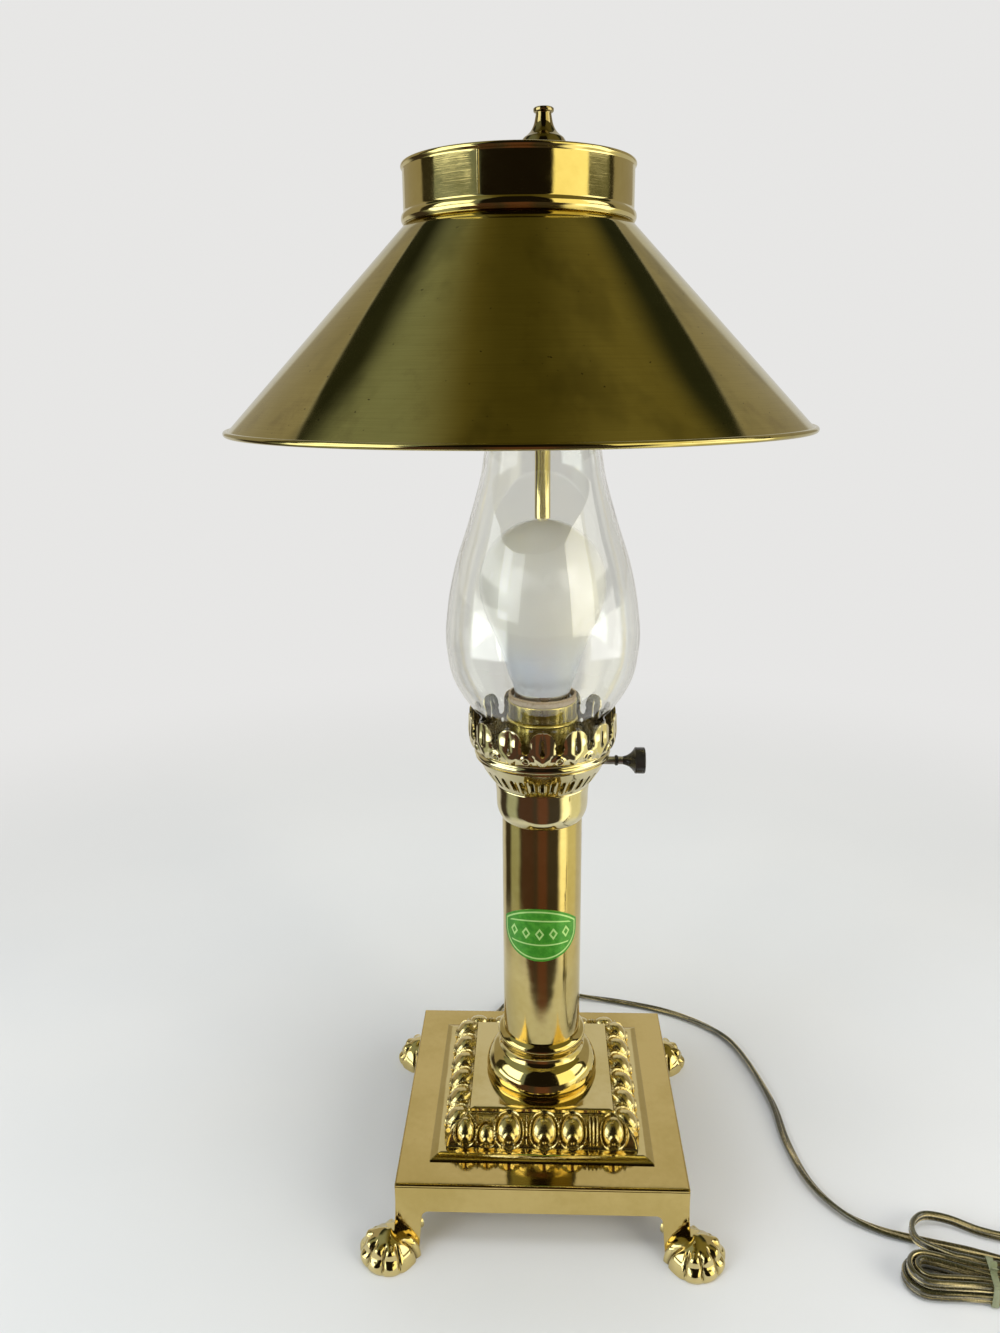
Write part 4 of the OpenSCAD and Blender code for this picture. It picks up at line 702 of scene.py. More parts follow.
def plinth_casting():
    """A closed outline carried round the square. On the border it is a quarter ellipse, and each point
    moves along the ellipse's own normal by the carving's relief."""
    quarter = np.linspace(0, math.pi / 2, 49)
    wide, tall = border_out - plateau_half, plinth_h - bevel_h - plateau_edge
    border = np.stack([plateau_half + wide * np.cos(quarter), bevel_h + tall * np.sin(quarter)], 1)
    normal = unit(np.stack([tall * np.cos(quarter), wide * np.sin(quarter)], 1))
    steps = np.linalg.norm(np.diff(border, axis=0), axis=1)
    run = np.concatenate([[0], np.cumsum(steps)])
    run *= border_run / run[-1]
    low = [[plinth_out - 0.5, 0], [plinth_out - 0.1, 0.15], [plinth_out, 0.5], [plinth_out - 0.35, 0.85],
           [plinth_out - bevel_w + 0.2, bevel_h - 0.12], [plinth_out - bevel_w - 0.3, bevel_h],
           [border_out + 1.2, bevel_h], [border_out + 0.5, bevel_h]]
    high = [[plateau_half + 0.02, plinth_h - 0.3], [plateau_half - 0.06, plinth_h - 0.08],
            [plateau_half - 0.3, plinth_h], [plateau_half - 4, plinth_h], [20, plinth_h], [6, plinth_h],
            [6, plinth_h - 3.5], [32, plinth_h - 5.5], [43, 2], [44, 0]]
    outline = np.vstack([low, border, high])
    first = len(low)
    places = np.linspace(-1, 1, 241)[:-1]
    way, side, c = square_way(places)
    points = np.empty((len(way), len(outline), 3))
    points[..., :2] = way[:, None] * outline[None, :, 0:1]
    points[..., 2] = outline[None, :, 1] + base_h
    s = c[:, None] * border[None, :, 0]
    t = np.broadcast_to(run[None], s.shape)
    relief = np.where((side == 3)[:, None], carving(s, t, front_eggs), carving(s, t, side_eggs))
    mitre = ease((border[None, :, 0] - np.abs(s)) / 1.6)
    relief = relief * mitre
    face = np.stack([np.choose(side, [1, 0, -1, 0]), np.choose(side, [0, 1, 0, -1])], 1)
    block = points[:, first:first + len(border)]
    block[..., :2] += face[:, None] * (relief * normal[None, :, 0])[..., None]
    block[..., 2] += relief * normal[None, :, 1]
    # Painted shade: 'hollow' rises where the carving's relief is low, darkening the ground between the eggs.
    hollow = np.zeros(points.shape[:2])
    hollow[:, first:first + len(border)] = 0.35 * ease((0.2 - relief) / 1.5)
    worn = np.zeros(points.shape[:2])
    worn[:, first:first + len(border)] = 1
    add_piece("plinth_casting", points.reshape(-1, 3), [grid_faces(len(way), len(outline), True, True)],
              "lamp", "cast_brass", carved, ("plinth",), crease=50, hollow=hollow, worn=worn)


plinth_casting()


def paw(name, node, x_side, y_side):
    """A lion's paw: a dome about the corner of the leg, at a turn a and a rise b. Its radius is a plain
    one plus four toes, at 17 and 51 degrees on both sides of the diagonal: each is a lobe, cos of the
    place between its grooves, with a knuckle at a rise of 43 degrees and a tip at 14, and the toes run
    together at the floor. A cuff runs along
    both faces of the leg, with a groove beside it. Points inside the leg are drawn into its wall."""
    turns, mid, dome_r, gap = 240, 73.0, 13.5, 34.0
    a, b = np.meshgrid(np.arange(turns) / turns * TURN, np.radians(np.linspace(0, 90, 73))[:-1], indexing="ij")
    off = (np.degrees(a) - 45 + 180) % 360 - 180
    rise = np.degrees(b)
    front = ease((80 - np.abs(off)) / 12)
    low = front * ease((60 - rise) / 18)
    lobe = np.abs(np.cos(math.pi * (off / gap - 0.5)))
    beside = np.minimum(off % gap, gap - off % gap) * np.radians(1) * dome_r * np.cos(b)
    groove = np.exp(-(beside / 0.75) ** 2) * (np.abs(off) < 2.5 * gap)
    steps = (0.7 * np.exp(-((rise - 43) / 9) ** 2) - 0.6 * np.exp(-((rise - 28) / 6) ** 2)
             + 0.7 * np.exp(-((rise - 14) / 9) ** 2))
    grip = 0.3 + 0.7 * ease((rise - 2) / 14)
    toes = grip * (lobe * (0.7 + steps) - 0.7 * groove) + 0.8 * (1 - grip)
    r = dome_r + 1.5 * ease((100 - np.abs(off)) / 60) + low * toes
    r -= 0.9 * np.exp(-(rise / 4) ** 2) * front
    away = np.maximum(r * np.cos(b) * np.cos(a), r * np.cos(b) * np.sin(a))
    cuff = (0.8 * np.exp(-((away - 1.6) / 1.3) ** 2) - 0.7 * np.exp(-((away - 4.3) / 0.9) ** 2)) * ease((62 - rise) / 20)
    r += cuff
    points = np.stack([mid + r * np.cos(b) * np.cos(a), mid + r * np.cos(b) * np.sin(a), r * np.sin(b)], -1).reshape(-1, 3)
    points = np.vstack([points, [mid, mid, r[:, -1].mean()], [mid + 2, mid + 2, 0]])
    wall = 69.5
    inside = (points[:, 0] < wall) & (points[:, 1] < wall)
    nearer = points[:, 0] > points[:, 1]
    points[inside & nearer, 0] = wall
    points[inside & ~nearer, 1] = wall
    # Painted shade: 'hollow' darkens the grooves between the toes and the groove beside the cuff.
    deep = np.maximum(low * grip * groove, np.exp(-((away - 4.3) / 0.9) ** 2) * ease((66 - rise) / 14))
    hollow = np.concatenate([0.7 * deep.ravel(), [0, 0]])
    cols, k = a.shape[1], np.arange(turns)
    faces = [grid_faces(turns, cols, True, False),
             np.stack([np.full(turns, turns * cols), k * cols + cols - 1, np.roll(k, -1) * cols + cols - 1], 1),
             np.stack([np.full(turns, turns * cols + 1), np.roll(k, -1) * cols, k * cols], 1)]
    if x_side * y_side < 0:
        faces = [f[:, ::-1] for f in faces]
    points[:, 0] *= x_side
    points[:, 1] *= y_side
    add_piece(name, points, faces, "lamp", "cast_brass", carved, (node,), crease=70, hollow=hollow)


paw("front_left_paw", "paw_front_left", -1, -1)
paw("front_right_paw", "paw_front_right", 1, -1)
paw("back_left_paw", "paw_back_left", -1, 1)
paw("back_right_paw", "paw_back_right", 1, 1)


# ---- Column, cup and burner --------------------------------------------------------------------

z_plateau, z_column, z_cup, z_bowl, z_crown = 54.0, 80.0, 199.5, 219.0, 234.0
foot_r, ring_r, foot_h, column_r = 29.3, 23.0, 26.0, 20.0
foot_line = join(
    [[0, 0], [foot_r - 1.5, 0]],
    spline([[foot_r - 1.2, 0.05], [foot_r - 0.2, 1.4], [foot_r, 3.6], [foot_r - 1.2, 8],
            [foot_r - 3.7, 12], [ring_r, foot_h - 12]], 8),
    spline([[ring_r - 0.6, foot_h - 11.6], [ring_r - 1.5, foot_h - 8.6], [ring_r - 1.1, foot_h - 5.6]], 8),
    spline([[ring_r - 0.7, foot_h - 5.2], [ring_r, foot_h - 3.4], [ring_r - 0.6, foot_h - 1.6],
            [ring_r - 2.4, foot_h]], 8),
    [[column_r + 0.05, foot_h], [column_r + 0.05, foot_h - 4], [0, foot_h - 4]])
turned("turned_foot", foot_line + [0, z_plateau], "lamp", "polished_brass", polished, ("column_foot",), steps=160)
turned("column", [[column_r - 1.2, 72], [column_r, 72], *[[column_r, z] for z in np.linspace(76, 200, 32)],
                  [column_r, 202.5], [column_r - 1.2, 202.5], *[[column_r - 1.2, z] for z in np.linspace(200, 74, 8)]],
       "lamp", "column_brass", column_brass, ("column_tube",), closed=True, steps=160)

label_r, label_w, label_h, label_z, round_from, top_drop = 20.3, 43.0, 29.0, 143.5, 0.5, 9.0


def arch_gap(s, v, top, drop):
    """How far a point lies under the arch top - drop (s / half the width)^2, at a right angle to it."""
    half = label_w / 2
    return (top - drop * (s / half) ** 2 - v) / np.sqrt(1 + (2 * drop * s / half ** 2) ** 2)


def label():
    """A patch of the column's own surface: x = r sin(s / r), y = -r cos(s / r) at s round the column.
    Above the level round_from its sides are straight and its top is an arch, below it is half an
    ellipse. The distance from the ellipse's edge is (1 - q) / |slope of q|, with
    q^2 = (s / a)^2 + (v / b)^2."""
    half, top = label_w / 2, label_h / 2
    below = top + round_from
    v = np.linspace(-top, top, 81)[:, None]
    low = np.clip(round_from - v, 0, below * 0.992)
    s = np.linspace(-1, 1, 121)[None] * half * np.sqrt(1 - (low / below) ** 2)
    low = low + 0 * s
    v = v - top_drop * (s / half) ** 2 * np.clip((v - round_from) / (top - round_from), 0, 1)
    q = np.sqrt((s / half) ** 2 + (low / below) ** 2)
    slope_q = np.sqrt((s / half ** 2) ** 2 + (low / below ** 2) ** 2) / np.maximum(q, 1e-6)
    inset = np.where(v > round_from, np.minimum(half - np.abs(s), arch_gap(s, v, top, top_drop)),
                     (1 - q) / np.maximum(slope_q, 1e-6))
    edge = np.exp(-((inset - 1.5) / 0.45) ** 4)
    diamond = np.abs((s + 3.5) % 7.0 - 3.5) / 2.1 + np.abs(v - 0.6) / 3.0
    mark = np.exp(-((diamond - 0.85) / 0.28) ** 4) * (np.abs(s) < 17)
    upper, lower = arch_gap(s, v, 8.0, 4.6), arch_gap(s, v, -5.4, 0)
    rules = np.exp(-(np.minimum(np.abs(upper), np.abs(lower)) / 0.4) ** 4) * (inset > 3.2)
    turn_at = s / label_r - 0.06
    front = np.stack([label_r * np.sin(turn_at), -label_r * np.cos(turn_at), label_z + v], -1)
    rear = front * [(column_r + 0.04) / label_r, (column_r + 0.04) / label_r, 1]
    points, faces = shell(front.reshape(-1, 3), rear.reshape(-1, 3), [grid_faces(*s.shape)[:, ::-1]])
    add_piece("column_label_foil", points, faces, "lamp", "label",
              foil_green, ("column_label",), crease=50, edge=np.tile(edge.ravel(), 2),
              mark=np.tile(np.maximum(mark, rules).ravel(), 2))


label()

cup_r, cup_h = 23.3, 19.5
cup_line = join([[0, 0.1], [18.6, 0.1], [19.4, 0.3]],
                spline([[19.9, 0.8], [20.8, 2.0], [21.9, 4.4], [22.5, 7.0], [22.7, 10.0], [22.75, 13.0],
                        [22.95, 16.0], [cup_r, cup_h - 0.6]], 6), [[cup_r - 0.1, cup_h - 0.2], [cup_r - 0.5, cup_h], [0, cup_h]])
turned("burner_cup", cup_line + [0, z_cup], "lamp", "polished_brass", pale, ("cup",), steps=160)

bowl_line = spline([[cup_r + 0.1, 0.1], [cup_r + 1.3, 2], [cup_r + 4.3, 6.75], [30.1, 10.5], [32.6, 15]], 6)
bowl_pitch = TURN * 32.6 / 36


key_field, key_t, key_room = 9, 12.6, 2.9


def bowl_cut(s, t, field):
    """Upright slots with round ends: above 0 inside, where the distance to the slot's middle line is
    less than half its width. The field on the key's side has a round hole for the shaft instead."""
    past = np.maximum(np.abs(t - 7.0) - 3.2, 0)
    shaft = key_room - np.sqrt(s ** 2 + (t - key_t) ** 2)
    return np.where(field == key_field, shaft, 1.05 - np.sqrt(s ** 2 + past ** 2))


def bowl_relief(s, t):
    """A low thin edge round each slot."""
    return 0.35 * np.exp(-((np.abs(s) - 1.6) / 0.5) ** 2) * np.exp(-((t - 7) / 4.2) ** 4)


pierced("slotted_bowl", bowl_line + [0, z_bowl], 36, 12, bowl_cut, bowl_relief, 1.2,
        "lamp", "polished_brass", pale, ("burner_bowl",), crease=35)
turned("bowl_seat", join([[18.6, 0.1], [cup_r + 0.3, 0.1], [cup_r + 0.3, 1.2], [18.6, 1.2]]) + [0, z_bowl],
       "lamp", "polished_brass", pale, closed=True, steps=120)
turned("bowl_ledge", join([[28.4, 13.9], [32.4, 13.9], [32.9, 14.3], [32.9, 15.0], [28.4, 15.0]]) + [0, z_bowl],
       "lamp", "polished_brass", pale, closed=True, steps=160)

crown_line = spline([[32.5, 0.1], [33.1, 0.6], [33.4, 1.5], [33.1, 2.5], [32.6, 3.1], [32.7, 3.9], [34.0, 5.3], [35.3, 8.6],
                     [35.6, 13.0], [35.65, 18.0], [36.0, 22.0]], 5)
leaf_tip = np.linalg.norm(np.diff(crown_line, axis=0), axis=1).sum() - 0.05
crown_pitch = TURN * 36.0 / 14


def crown_cut(s, t, field):
    """A leaf is an arch: half as wide as 5.9 times the root of 1 - u^2 over its shoulders, with a gap
    beside it whose foot is round, and small lobes in its sides. It has a slot, wider at its foot, and a
    round hole stands in the band under each gap. Above 0 is open."""
    s = np.abs(s)
    half_pitch = crown_pitch / 2
    over = np.clip((t - 17.4) / (leaf_tip - 17.4), 0, 1)
    wide = 5.9 * np.sqrt(1 - over ** 2 + 1e-6) + 0.32 * np.cos((t - 14.2) * TURN / 2.8) * (t < 17.4)
    foot = half_pitch - 2.1 * np.sqrt(np.clip(1 - ((14.0 - t) / 1.9) ** 2, 0, 1))
    edge = np.where(t < 14.0, np.maximum(foot, wide), wide)
    gap = np.where(t > 12.1, np.minimum(s - edge, t - 12.1), -1.0)
    slot_half = 0.62 + 0.45 * ease((14.6 - t) / 1.8)
    slot = slot_half - np.sqrt(s ** 2 + np.maximum(np.abs(t - 15.8) - 3.5, 0) ** 2)
    hole = 1.15 - np.sqrt((s - half_pitch) ** 2 + (t - 8.6) ** 2)
    return np.maximum(np.maximum(gap, slot), hole)


def crown_relief(s, t):
    """Each half of a leaf is a low pillow that falls towards the slot and the edge. Under it the leaf
    runs down the band as a lobe that grows narrow, and a ring stands round each hole."""
    s = np.abs(s)
    half_pitch = crown_pitch / 2
    leaf = ease((t - 10.5) / 3)
    pillow = 0.75 * np.clip(1 - ((s - 3.1) / 3.2) ** 2, 0, 1) * leaf * np.sqrt(np.clip((leaf_tip - t) / 8, 0, 1))
    narrow = 1.7 + 3.4 * ease((t - 5) / 8)
    lobe = 0.7 * np.clip(1 - (s / narrow) ** 2, 0, 1) * (1 - leaf) * ease((t - 4.4) / 1.5)
    reach = np.sqrt((s - half_pitch) ** 2 + (t - 8.6) ** 2)
    ring = 0.5 * np.exp(-((reach - 2.0) / 0.7) ** 2) * (1 - leaf)
    return pillow + lobe + ring


pierced("leaf_crown", crown_line + [0, z_crown], 14, 40, crown_cut, crown_relief, 0.8,
        "lamp", "polished_brass", pale, ("gallery_crown",), crease=40)

socket_r, z_shell, shell_h = 16.8, 221.3, 43.5
bead_z = shell_h - 12.5
shell_top = shell_h - 3.2
socket_line = join([[socket_r - 0.8, 0], [socket_r, 0], [socket_r, bead_z - 1.2]],
                   arc(socket_r - 0.2, bead_z, 1, -80, 80, 10), [[socket_r, bead_z + 1.2], [socket_r, shell_top - 0.4]],
                   arc(socket_r - 0.4, shell_top - 0.4, 0.4, 0, 180, 8))
turned("socket_shell_brass", socket_line + [0, z_shell], "lamp", "bright_brass", socket_brass, ("socket_shell",),
       closed=True, steps=128)
liner_out, liner_in = socket_r - 0.9, socket_r - 1.6
liner_line = join([[liner_in, 0.5], [liner_out, 0.5], [liner_out, shell_top - 0.2], [liner_out + 0.5, shell_top + 0.3],
                   [liner_out + 0.6, shell_h - 0.7]], arc(liner_out + 0.1, shell_h - 0.6, 0.5, 0, 90, 6),
                  arc(liner_in + 0.4, shell_h - 0.5, 0.4, 90, 180, 6))
turned("card_liner", liner_line + [0, z_shell], "lamp", "card", card, ("socket_liner",), closed=True, steps=128)

bulb_r, z_rim, screw_r = 30.0, 264.8, 13.2
bulb_mid = z_rim + 83.5 - bulb_r
bulb_line = join([[0, z_rim + 1.2], [screw_r + 0.4, z_rim + 1.2]],
                 spline([[screw_r + 0.6, z_rim + 2], [screw_r + 1.5, z_rim + 5.5], [screw_r + 3.2, z_rim + 9.7],
                         [bulb_r * 0.635, bulb_mid - bulb_r * 1.17], [bulb_r * 0.76, bulb_mid - bulb_r * 0.83],
                         [bulb_r * 0.9, bulb_mid - bulb_r * 0.5], [bulb_r * 0.975, bulb_mid - bulb_r * 0.25],
                         [bulb_r, bulb_mid]], 6),
                 arc(0, bulb_mid, bulb_r, 4, 88, 24), [[0, bulb_mid + bulb_r]])
turned("frosted_bulb", bulb_line, "bulb", "bulb_white", frosted, ("bulb_glass",), steps=128)

# The chimney: foot, belly, neck and an even mouth, as (radius, height) above its foot
z_chimney = 234.3
f, b, m, u, t = 31.5, 46.1, 23.8, 60.0, 154.0
chimney_low = [[f, 0.5], [f, u * 0.15], [f, u * 0.295], [f + 1, u * 0.36], [f + 4.2, u * 0.437],
               [f + 8.1, u * 0.537], [b - 2.9, u * 0.66], [b - 1, u * 0.8], [b, u]]
chimney_high = [[b - m * 0.06, u + t * 0.095], [b - m * 0.134, u + t * 0.16], [b - m * 0.26, u + t * 0.238],
                [b - m * 0.5, u + t * 0.349], [b - m * 0.727, u + t * 0.472], [b - m * 0.811, u + t * 0.548],
                [b - m * 0.929, u + t * 0.654], [b - m * 0.99, u + t * 0.784],
                [b - m * 1.013, u + t * 0.914], [b - m, 213.4]]
chimney_out = spline(chimney_low + chimney_high, 6)
wall = 1.8
chimney_line = join(chimney_out, arc(chimney_out[-1, 0] - wall / 2, 213.3, wall / 2, 20, 160, 6),
                    (chimney_out - [wall, 0])[::-1], arc(f - wall / 2, 0.7, wall / 2 - 0.05, 200, 340, 6))
turned("glass_chimney", chimney_line + [0, z_chimney], "chimney", "clear_glass", chimney_glass, ("chimney",),
       closed=True, steps=160)

knob_r, knob_reach, knob_len = 6.5, 50.6, 15.0
knob_line = join([[0, 0], [2.2, 0], [2.6, 0.4], [2.6, 1.3], [2.2, 1.7]],
                 spline([[1.9, 2.0], [2.0, 4.0], [2.7, 6.2], [3.9, 8.0], [5.6, 9.5]], 6),
                 arc(knob_r - 0.6, 10.3, 0.6, -70, 0, 4), arc(knob_r - 0.6, knob_len - 0.7, 0.6, 0, 85, 5),
                 [[knob_r - 1.6, knob_len], [0, knob_len - 0.4]])
turned("key_knob", knob_line + [0, knob_reach - knob_len], "switch", "black", black, ("switch_knob",),
       lying=229.3, steps=64)


# ---- Shade, its rod and the finial ---------------------------------------------------------------

rod_r, rod_back, rod_in, bend_r, bend_z = 4.2, 51.0, 36.0, 56.0, 345.0
bend_a = math.degrees(math.acos(1 - (rod_back - rod_in) / (2 * bend_r)))
bend_top = bend_z + 2 * bend_r * math.sin(math.radians(bend_a))
first_bend = arc(rod_back - bend_r, bend_z, bend_r, 0, bend_a, 16)
second_bend = arc(rod_in + bend_r, bend_top, bend_r, 180 + bend_a, 180, 16)
rod_yz = join([[rod_back, 207.1], [rod_back, 240], [rod_back, 300]], first_bend, second_bend[1:],
              [[rod_in, 440], [rod_in, 488]])
rod_line = np.column_stack([0 * rod_yz[:, 0], rod_yz])
rod_way = unit(np.gradient(rod_line, axis=0))
rod_across = np.tile([1.0, 0, 0], (len(rod_line), 1))
swept("shade_rod_brass", rod_line, rod_across, np.cross(rod_way, rod_across), arc(0, 0, rod_r, 0, 360, 40)[:-1],
      "lamp", "bright_brass", bright, ("shade_rod",), crease=50)

shade_at = (-10.73, -0.45)
rim_z, cone_h, bead, sheet = 388.3, 86.0, 1.3, 0.9
low_r, neck_r = 130.0 - bead, 48.25
slope = unit(np.array([neck_r + 1 - low_r, cone_h - 0.6 - bead]))
cone_line = join(
    [[low_r - sheet * 1.4, bead + 0.4]],
    arc(low_r, bead, bead, 170, 360 + math.degrees(math.atan2(slope[1], slope[0])), 24),
    np.linspace([low_r, bead] + slope * 2.2, [neck_r + 1, cone_h - 0.6], 24),
    [[neck_r, cone_h], [neck_r, cone_h + 2.4], [neck_r - sheet, cone_h + 2.4], [neck_r - sheet, cone_h - 1]],
    np.linspace([neck_r - sheet - 0.2, cone_h - 1.6], [low_r - sheet * 1.4 - 1, bead + 1.6], 12))
turned("spun_cone", cone_line + [0, rim_z], "shade", "shade_brass", spun, ("shade_cone",), closed=True,
       about=shade_at, steps=240)

collar_r, collar_h, crease_h = 49.2, 23.5, 4.6
collar_line = join(
    [[collar_r - sheet, 0.1], [collar_r + 0.1, 0]],
    spline([[collar_r + 0.3, 0], [collar_r + 1, 1.4], [collar_r + 0.9, 3.2], [collar_r, crease_h]], 6),
    [[collar_r, crease_h + 0.6]], np.linspace([collar_r, crease_h + 1.4], [collar_r, collar_h - 3], 8),
    spline([[collar_r, collar_h - 2.4], [collar_r + 0.7, collar_h - 1.2], [collar_r + 0.5, collar_h - 0.3],
            [collar_r, collar_h]], 5),
    [[collar_r - sheet, collar_h - 0.2], [collar_r - sheet, collar_h - 6]])
turned("collar", collar_line + [0, rim_z + cone_h + 0.1], "shade", "polished_brass", collar_brass,
       ("shade_collar",), closed=True, about=shade_at, steps=200)

# The collar's soldered joint: a thin raised line up its side
seam_a = math.radians(-90 - 17.4)
seam_out, seam_way = np.array([math.cos(seam_a), math.sin(seam_a), 0]), np.array([-math.sin(seam_a), math.cos(seam_a), 0])
seam_up = np.linspace(crease_h + 0.8, collar_h - 2.6, 12)[:, None]
seam_line = (np.array([*shade_at, rim_z + cone_h + 0.1]) + collar_r * seam_out + [0, 0, 1] * seam_up)
swept("collar_seam", seam_line, np.tile(seam_way, (12, 1)), np.tile(seam_out, (12, 1)),
      arc(0, 0, 1, 0, 360, 12)[:-1] * [0.55, 0.22], "shade", "polished_brass", bright, crease=70)

fh, fb, fr = 34.0, 12.0, 4.6
finial_line = join(
    [[0, 0], [7.5, 0], [7.5, 1.6], [7.2, 2.0], [6.0, 2.4], [5.8, fh * 0.3]],
    spline([[6.8, fh * 0.36], [fb - 2, fh * 0.41], [fb, fh * 0.45], [fb - 0.5, fh * 0.51], [fb - 2.5, fh * 0.62],
            [fb - 4.4, fh * 0.665], [fb - 6.2, fh * 0.72], [fr - 0.2, fh * 0.8], [fr - 1, fh * 0.91],
            [fr - 1, fh - 2.2]], 6),
    [[fr - 0.3, fh - 2.0], [fr, fh - 1.6], [fr, fh - 0.5], [fr - 0.4, fh - 0.1], [fr - 1, fh], [0, fh]])
turned("finial_turning", finial_line + [0, 493.9], "finial", "polished_brass", shaded_finial_brass, ("finial",),
       about=(0, 36), steps=96)


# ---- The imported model's own pieces that stay ---------------------------------------------------

kept = {
    "paw_screws": bright, "centre_pipe": steel,
    "base_washer": steel, "base_nut": bright, "cup_nut": bright, "cord_bushing": black, "inner_lead": cord_plastic,
    "rod_arm": polished, "rod_nut": bright, "socket_cap": bright, "switch_block": brown,
    "socket_thread": screw_metal, "contact_spring": bright, "terminal_screws": bright, "switch_shaft": steel,
    "bulb_base": screw_metal, "bulb_stem": stem_glass, "shade_nut": bright, "spider_bar": polished,
    "spider_rivets": polished, "plug_blades": screw_metal}
for node, finish in kept.items():
    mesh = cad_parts[node].data
    mesh.materials.clear()
    mesh.materials.append(finish)


# ---- Floor, light and world ----------------------------------------------------------------------

# What stands round the lamp, as metal shows it: from and to in degrees, from the camera's side round
# to the right, lowest and highest z on the unit sphere of directions, and the colour. A later line
# covers an earlier one, and the rest is pale wall. Behind the camera it is dark, with a window on
# each side.
pale_wall, plain_back = (0.65, 0.635, 0.59), (0.80, 0.795, 0.785)
side_wall = (0.40, 0.36, 0.27)
around_lamp = ((-152, 152, -1, 0.62, side_wall), (-106, 106, -1, 0.62, (0.04, 0.035, 0.02)),
               (34, 99, -1, 0.62, (0.17, 0.17, 0.10)), (60, 97, 0.20, 0.62, (2.40, 2.35, 2.10)),
               (60, 97, -1, 0.09, (2.80, 2.75, 2.50)), (34, 71, -1, 0.62, (1.75, 1.60, 0.90)),
               (-88, -36, -1, 0.62, (0.24, 0.28, 0.27)), (-88, -45, -1, 0.62, (0.22, 0.26, 0.23)),
               (-88, -45, 0.20, 0.62, (2.80, 2.90, 2.70)), (-92, -42, -1, 0.09, (3.00, 3.15, 3.00)))
camera_side = (-36, 34, -1, 0.965, (0.012, 0.009, 0.006))
on_table = ((-128, 60, -1, 1, (0.035, 0.022, 0.012)), (-99, -66, -1, 1, (0.42, 0.45, 0.34)),
            (-60, -22, -1, 1, (0.06, 0.018, 0.006)), (-12, 14, -1, 1, (0.12, 0.035, 0.012)),
            (64, 112, -1, 1, (0.85, 0.80, 0.50)), (50, 74, -1, 1, (1.75, 1.65, 1.15)))
far_on_table = ((-92, -42, -1, 1, (3.00, 3.15, 3.00)), (57, 104, -1, 1, (2.80, 2.75, 2.50)))


def round_lamp(graph, way, walls, panels, soft):
    """The colours round the lamp by azimuth, atan2(x, -y), and by height z, with soft edges."""
    azimuth = graph.sum(graph.sum(way[0], graph.sum(way[1], -1, "MULTIPLY"), "ARCTAN2"), 180 / math.pi, "MULTIPLY")
    colour = walls
    for start, end, low, high, panel in panels:
        inside = graph.sum(graph.span(azimuth, start - soft, start + soft, 0, 1),
                           graph.span(azimuth, end - soft, end + soft, 1, 0), "MULTIPLY")
        level = graph.sum(graph.span(way[2], low - 0.02, low + 0.02, 0, 1),
                          graph.span(way[2], high - 0.02, high + 0.02, 1, 0), "MULTIPLY")
        colour = graph.blend(graph.sum(inside, level, "MULTIPLY"), colour, panel)
    return colour, azimuth


def stage_floor():
    """A flat pale table, which takes the lamp's shadow near it and turns into the background far off.
    It has a low gloss, in which metal sees the windows and the dark camera side again."""
    floor = Finish("pale_floor", Roughness=0.55, Specular_IOR_Level=0.25)
    cloud = floor.span(floor.noise(6, 2), 0.3, 0.7, 0, 1)
    floor.set("Base_Color", floor.blend(cloud, (0.72, 0.745, 0.81), (0.74, 0.76, 0.82)))
    place = floor.coordinates.outputs["Object"]
    split = floor.add("ShaderNodeSeparateXYZ", {0: place}).node.outputs
    far = floor.add("ShaderNodeVectorMath", {0: place}, output=1, operation="LENGTH")
    near_gloss, _ = round_lamp(floor, split, pale_wall, on_table, 7)
    far_gloss, _ = round_lamp(floor, split, near_gloss, far_on_table, 3)
    gloss = floor.blend(floor.span(far, 0.78, 0.95, 0, 1), near_gloss, far_gloss)
    path = floor.nodes.new("ShaderNodeLightPath")
    back = floor.add("ShaderNodeEmission", {"Color": (*plain_back, 1)})
    sheen = floor.add("ShaderNodeEmission", {"Color": gloss})
    surface = floor.add("ShaderNodeMixShader", {0: floor.span(far, 0.30, 0.95, 0, 1), 1: floor.shader.outputs[0], 2: back})
    ahead = floor.span(floor.sum(split[1], -1, "MULTIPLY"), 0.145, 0.175, 0, 0.97)
    dim = floor.sum(floor.span(far, 0.18, 0.32, 0, 0.97), ahead, "MAXIMUM")
    shown = floor.sum(path.outputs["Is Glossy Ray"], dim, "MULTIPLY")
    surface = floor.add("ShaderNodeMixShader", {0: shown, 1: surface, 2: sheen})
    floor.links.new(surface, floor.nodes["Material Output"].inputs["Surface"])
    mesh = bpy.data.meshes.new("floor")
    reach = 12.0
    mesh.from_pydata([(-reach, -reach, 0), (reach, -reach, 0), (reach, reach, 0), (-reach, reach, 0)], [], [(0, 1, 2, 3)])
    mesh.materials.append(floor.material)
    piece = bpy.data.objects.new("floor", mesh)
    bpy.context.scene.collection.objects.link(piece)


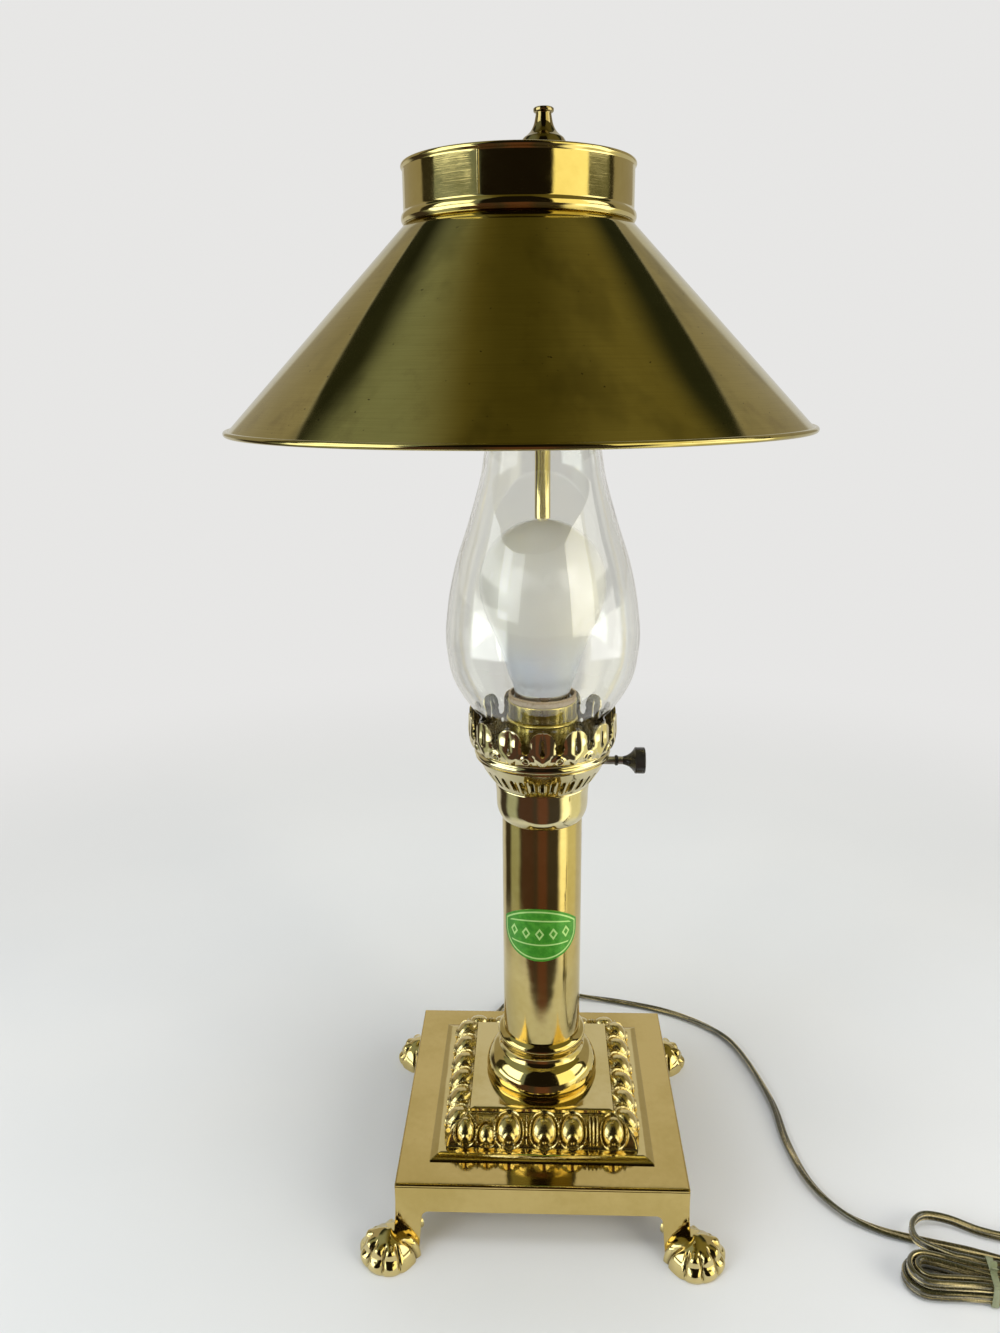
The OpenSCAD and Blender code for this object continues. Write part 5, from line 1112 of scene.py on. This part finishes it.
def stage_world():
    """A pale room. The walls end at a height of z = 0.62 on the unit sphere of directions; over them the
    far corners are dark and the ceiling is dim. What the camera sees directly or through glass is the
    plain pale wall."""
    world = bpy.data.worlds.new("studio")
    bpy.context.scene.world = world
    world.use_nodes = True
    room = Graph(world.node_tree)
    way = room.add("ShaderNodeSeparateXYZ", {0: room.add("ShaderNodeTexCoord", output="Generated")}).node.outputs
    walls, azimuth = round_lamp(room, way, pale_wall, around_lamp, 1.5)
    side = room.sum(azimuth, 0, "ABSOLUTE")
    corner = room.sum(room.span(side, 110, 122, 0, 1), room.span(way[2], 0.72, 0.88, 1, 0), "MULTIPLY")
    ceiling = room.blend(room.span(room.sum(way[0], 0, "ABSOLUTE"), 0.05, 0.45, 0, 1), (0.095, 0.08, 0.018), (0.21, 0.18, 0.06))
    ceiling = room.blend(room.span(way[0], -0.5, -0.2, 1, 0), ceiling, (0.30, 0.33, 0.25))
    ceiling = room.blend(corner, ceiling, (0.03, 0.033, 0.018))
    top = room.sum(way[2], room.span(side, 146, 154, 0, 0.15), "SUBTRACT")
    inside = room.blend(room.span(top, 0.61, 0.63, 0, 1), walls, ceiling)
    walls, _ = round_lamp(room, way, inside, [camera_side], 1.5)
    path = room.nodes.new("ShaderNodeLightPath")
    direct = room.sum(path.outputs["Is Camera Ray"], path.outputs["Is Transmission Ray"], "MAXIMUM")
    room.links.new(room.blend(direct, walls, plain_back), room.nodes["Background"].inputs["Color"])


def soft_box(name, place, aim, width, height, power, colour):
    """A soft box: a large area light at place, facing aim, both in metres, which metal doesn't mirror."""
    light = bpy.data.lights.new(name, "AREA")
    light.shape, light.size, light.size_y = "RECTANGLE", width, height
    light.energy, light.color = power, colour
    lamp = bpy.data.objects.new(name, light)
    back = unit(np.array(place) - np.array(aim))
    side = unit(np.cross([0, 0.01, 1.0], back))
    lamp.matrix_world = Matrix(np.vstack([np.column_stack([side, np.cross(back, side), back, place]), [0, 0, 0, 1]]).tolist())
    lamp.visible_glossy = False
    bpy.context.scene.collection.objects.link(lamp)


stage_floor()
stage_world()
soft_box("left_box", (-1.1, -1.2, 0.9), (0, 0, 0.25), 0.9, 1.2, 10, (0.97, 0.99, 1.0))
soft_box("right_box", (1.2, -1.0, 0.8), (0, 0, 0.25), 0.9, 1.2, 12, (1.0, 0.97, 0.91))
soft_box("top_box", (0.0, -0.1, 1.9), (0, 0, 0.2), 1.4, 1.4, 19, (1.0, 1.0, 1.0))

scene = bpy.context.scene
scene.view_settings.view_transform = "Standard"
